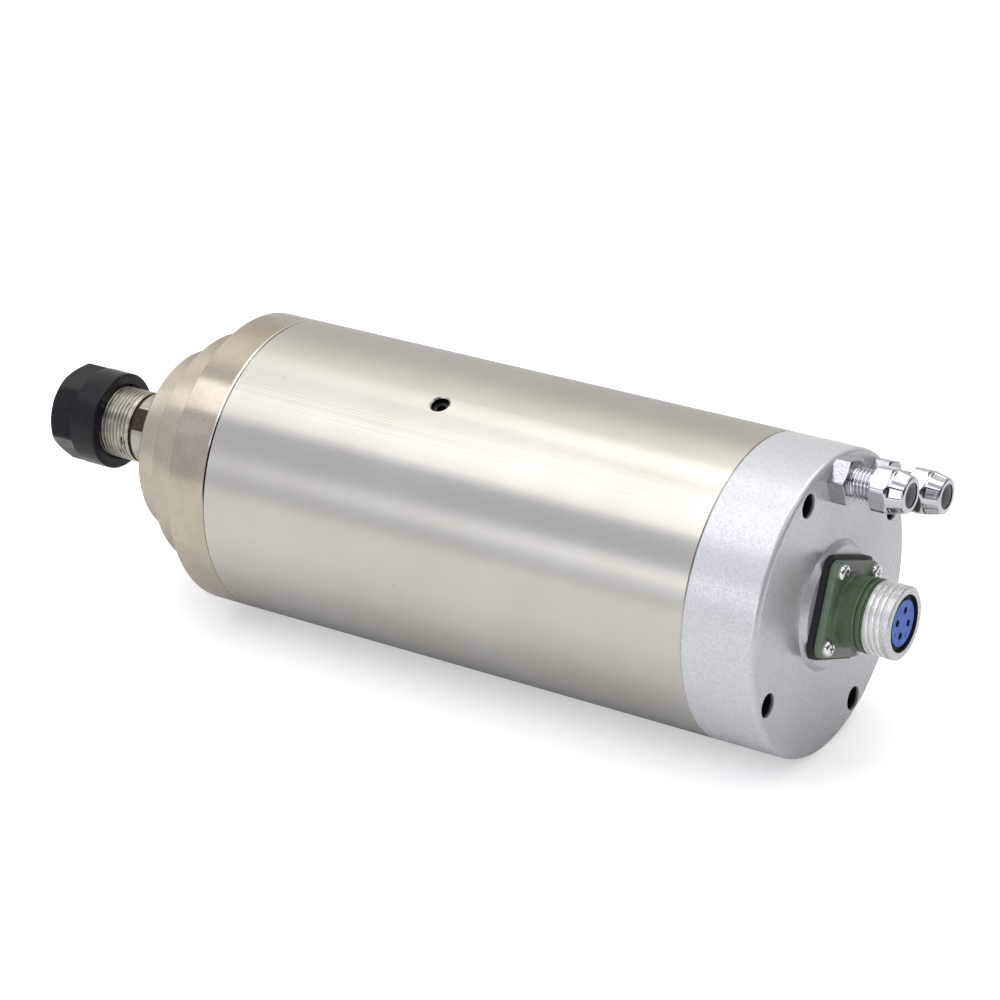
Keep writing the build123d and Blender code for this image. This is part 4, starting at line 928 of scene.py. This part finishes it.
def makeLamp(name, place, size, turn, radiance):
    lamp = bpy.data.lights.new(name, "AREA")
    lamp.shape = "RECTANGLE"
    lamp.size, lamp.size_y = size
    lamp.energy = radiance * math.pi * lamp.size * lamp.size_y
    item = bpy.data.objects.new(name, lamp)
    bpy.context.scene.collection.objects.link(item)
    item.location = place
    item.rotation_euler = [math.radians(angle) for angle in turn]


for name, sizes in lampSizes.items():
    makeLamp(name, *sizes)
print("floor and lamps placed")

# The walls: even and pale, brighter overhead behind, with a dark band behind the camera and a pale haze at its
# left, and dimmer at the right. Bands are in degrees up from the front horizon, over the top and down behind
wallSizes = {
    "even": 0.72, "behind": 0.5, "behindBand": (84, 100, 98, 152), "dark": 0.98, "darkBand": (24, 27, 34, 37),
    "darkSide": (-0.1, 0.0), "haze": 0.14, "hazeBand": (20, 28, 40, 48), "hazeSide": (-0.1, -0.35),
    "right": 0.85, "rightSide": (0.0, 0.7), "front": "#f4f5ff", "back": "#fffcfa", "tintFrom": (60, 130),
}


def makeWorld():
    s = wallSizes
    degree = math.radians(1)
    world = bpy.data.worlds.new("paleRoom")
    bpy.context.scene.world = world
    world.use_nodes = True
    tree = world.node_tree
    for node in list(tree.nodes):
        tree.nodes.remove(node)
    way = addNode(tree, "TexCoord").outputs["Generated"]
    x, y, z = addNode(tree, "SeparateXYZ", [way]).outputs
    front = addNode(tree, "Math", [y, -1.0], operation="MULTIPLY")
    climb = addNode(tree, "Math", [z, front], operation="ARCTAN2")
    behind = softBand(tree, climb, s["behindBand"], degree)
    darkSide = addNode(tree, "MapRange", [x, *s["darkSide"]], **smooth)
    dark = addNode(tree, "Math", [softBand(tree, climb, s["darkBand"], degree), darkSide], operation="MULTIPLY")
    right = addNode(tree, "MapRange", [x, *s["rightSide"]], **smooth)
    hazeSide = addNode(tree, "MapRange", [x, *s["hazeSide"]], **smooth)
    haze = addNode(tree, "Math", [softBand(tree, climb, s["hazeBand"], degree), hazeSide], operation="MULTIPLY")
    level = addNode(tree, "Math", [behind, s["behind"], s["even"]], operation="MULTIPLY_ADD")
    level = addNode(tree, "Math", [haze, s["haze"], level], operation="MULTIPLY_ADD")
    for shade, strength in ((dark, s["dark"]), (right, s["right"])):
        remaining = addNode(tree, "MapRange", [shade, 0.0, 1.0, 1.0, 1 - strength])
        level = addNode(tree, "Math", [level, remaining], operation="MULTIPLY")
    tint = addNode(tree, "MapRange", [climb, *[edge * degree for edge in s["tintFrom"]]], **smooth)
    tint = addNode(tree, "Mix", [tint, s["front"], s["back"]], **colours)
    walls = addNode(tree, "Background", {"Color": tint, "Strength": level})
    addNode(tree, "OutputWorld", {"Surface": walls})


makeWorld()
scene = bpy.context.scene
scene.view_settings.view_transform = "Standard"

# The camera stands where the photo's did: place and aim in metres, lens and sensor in millimetres
cameraSizes = {
    "place": (0.6520, -0.88494, 0.46458), "aim": (0.0843, 0.0, 0.006762), "lens": 125.87, "sensor": 36.0,
}


def makeCamera():
    view = bpy.data.cameras.new("photoCamera")
    view.lens = cameraSizes["lens"]
    view.sensor_width = cameraSizes["sensor"]
    view.sensor_fit = "HORIZONTAL"
    item = bpy.data.objects.new("photoCamera", view)
    scene.collection.objects.link(item)
    place = Vector(cameraSizes["place"])
    item.location = place
    item.rotation_euler = (Vector(cameraSizes["aim"]) - place).to_track_quat("-Z", "Y").to_euler()
    scene.camera = item


makeCamera()
print("light and camera placed")
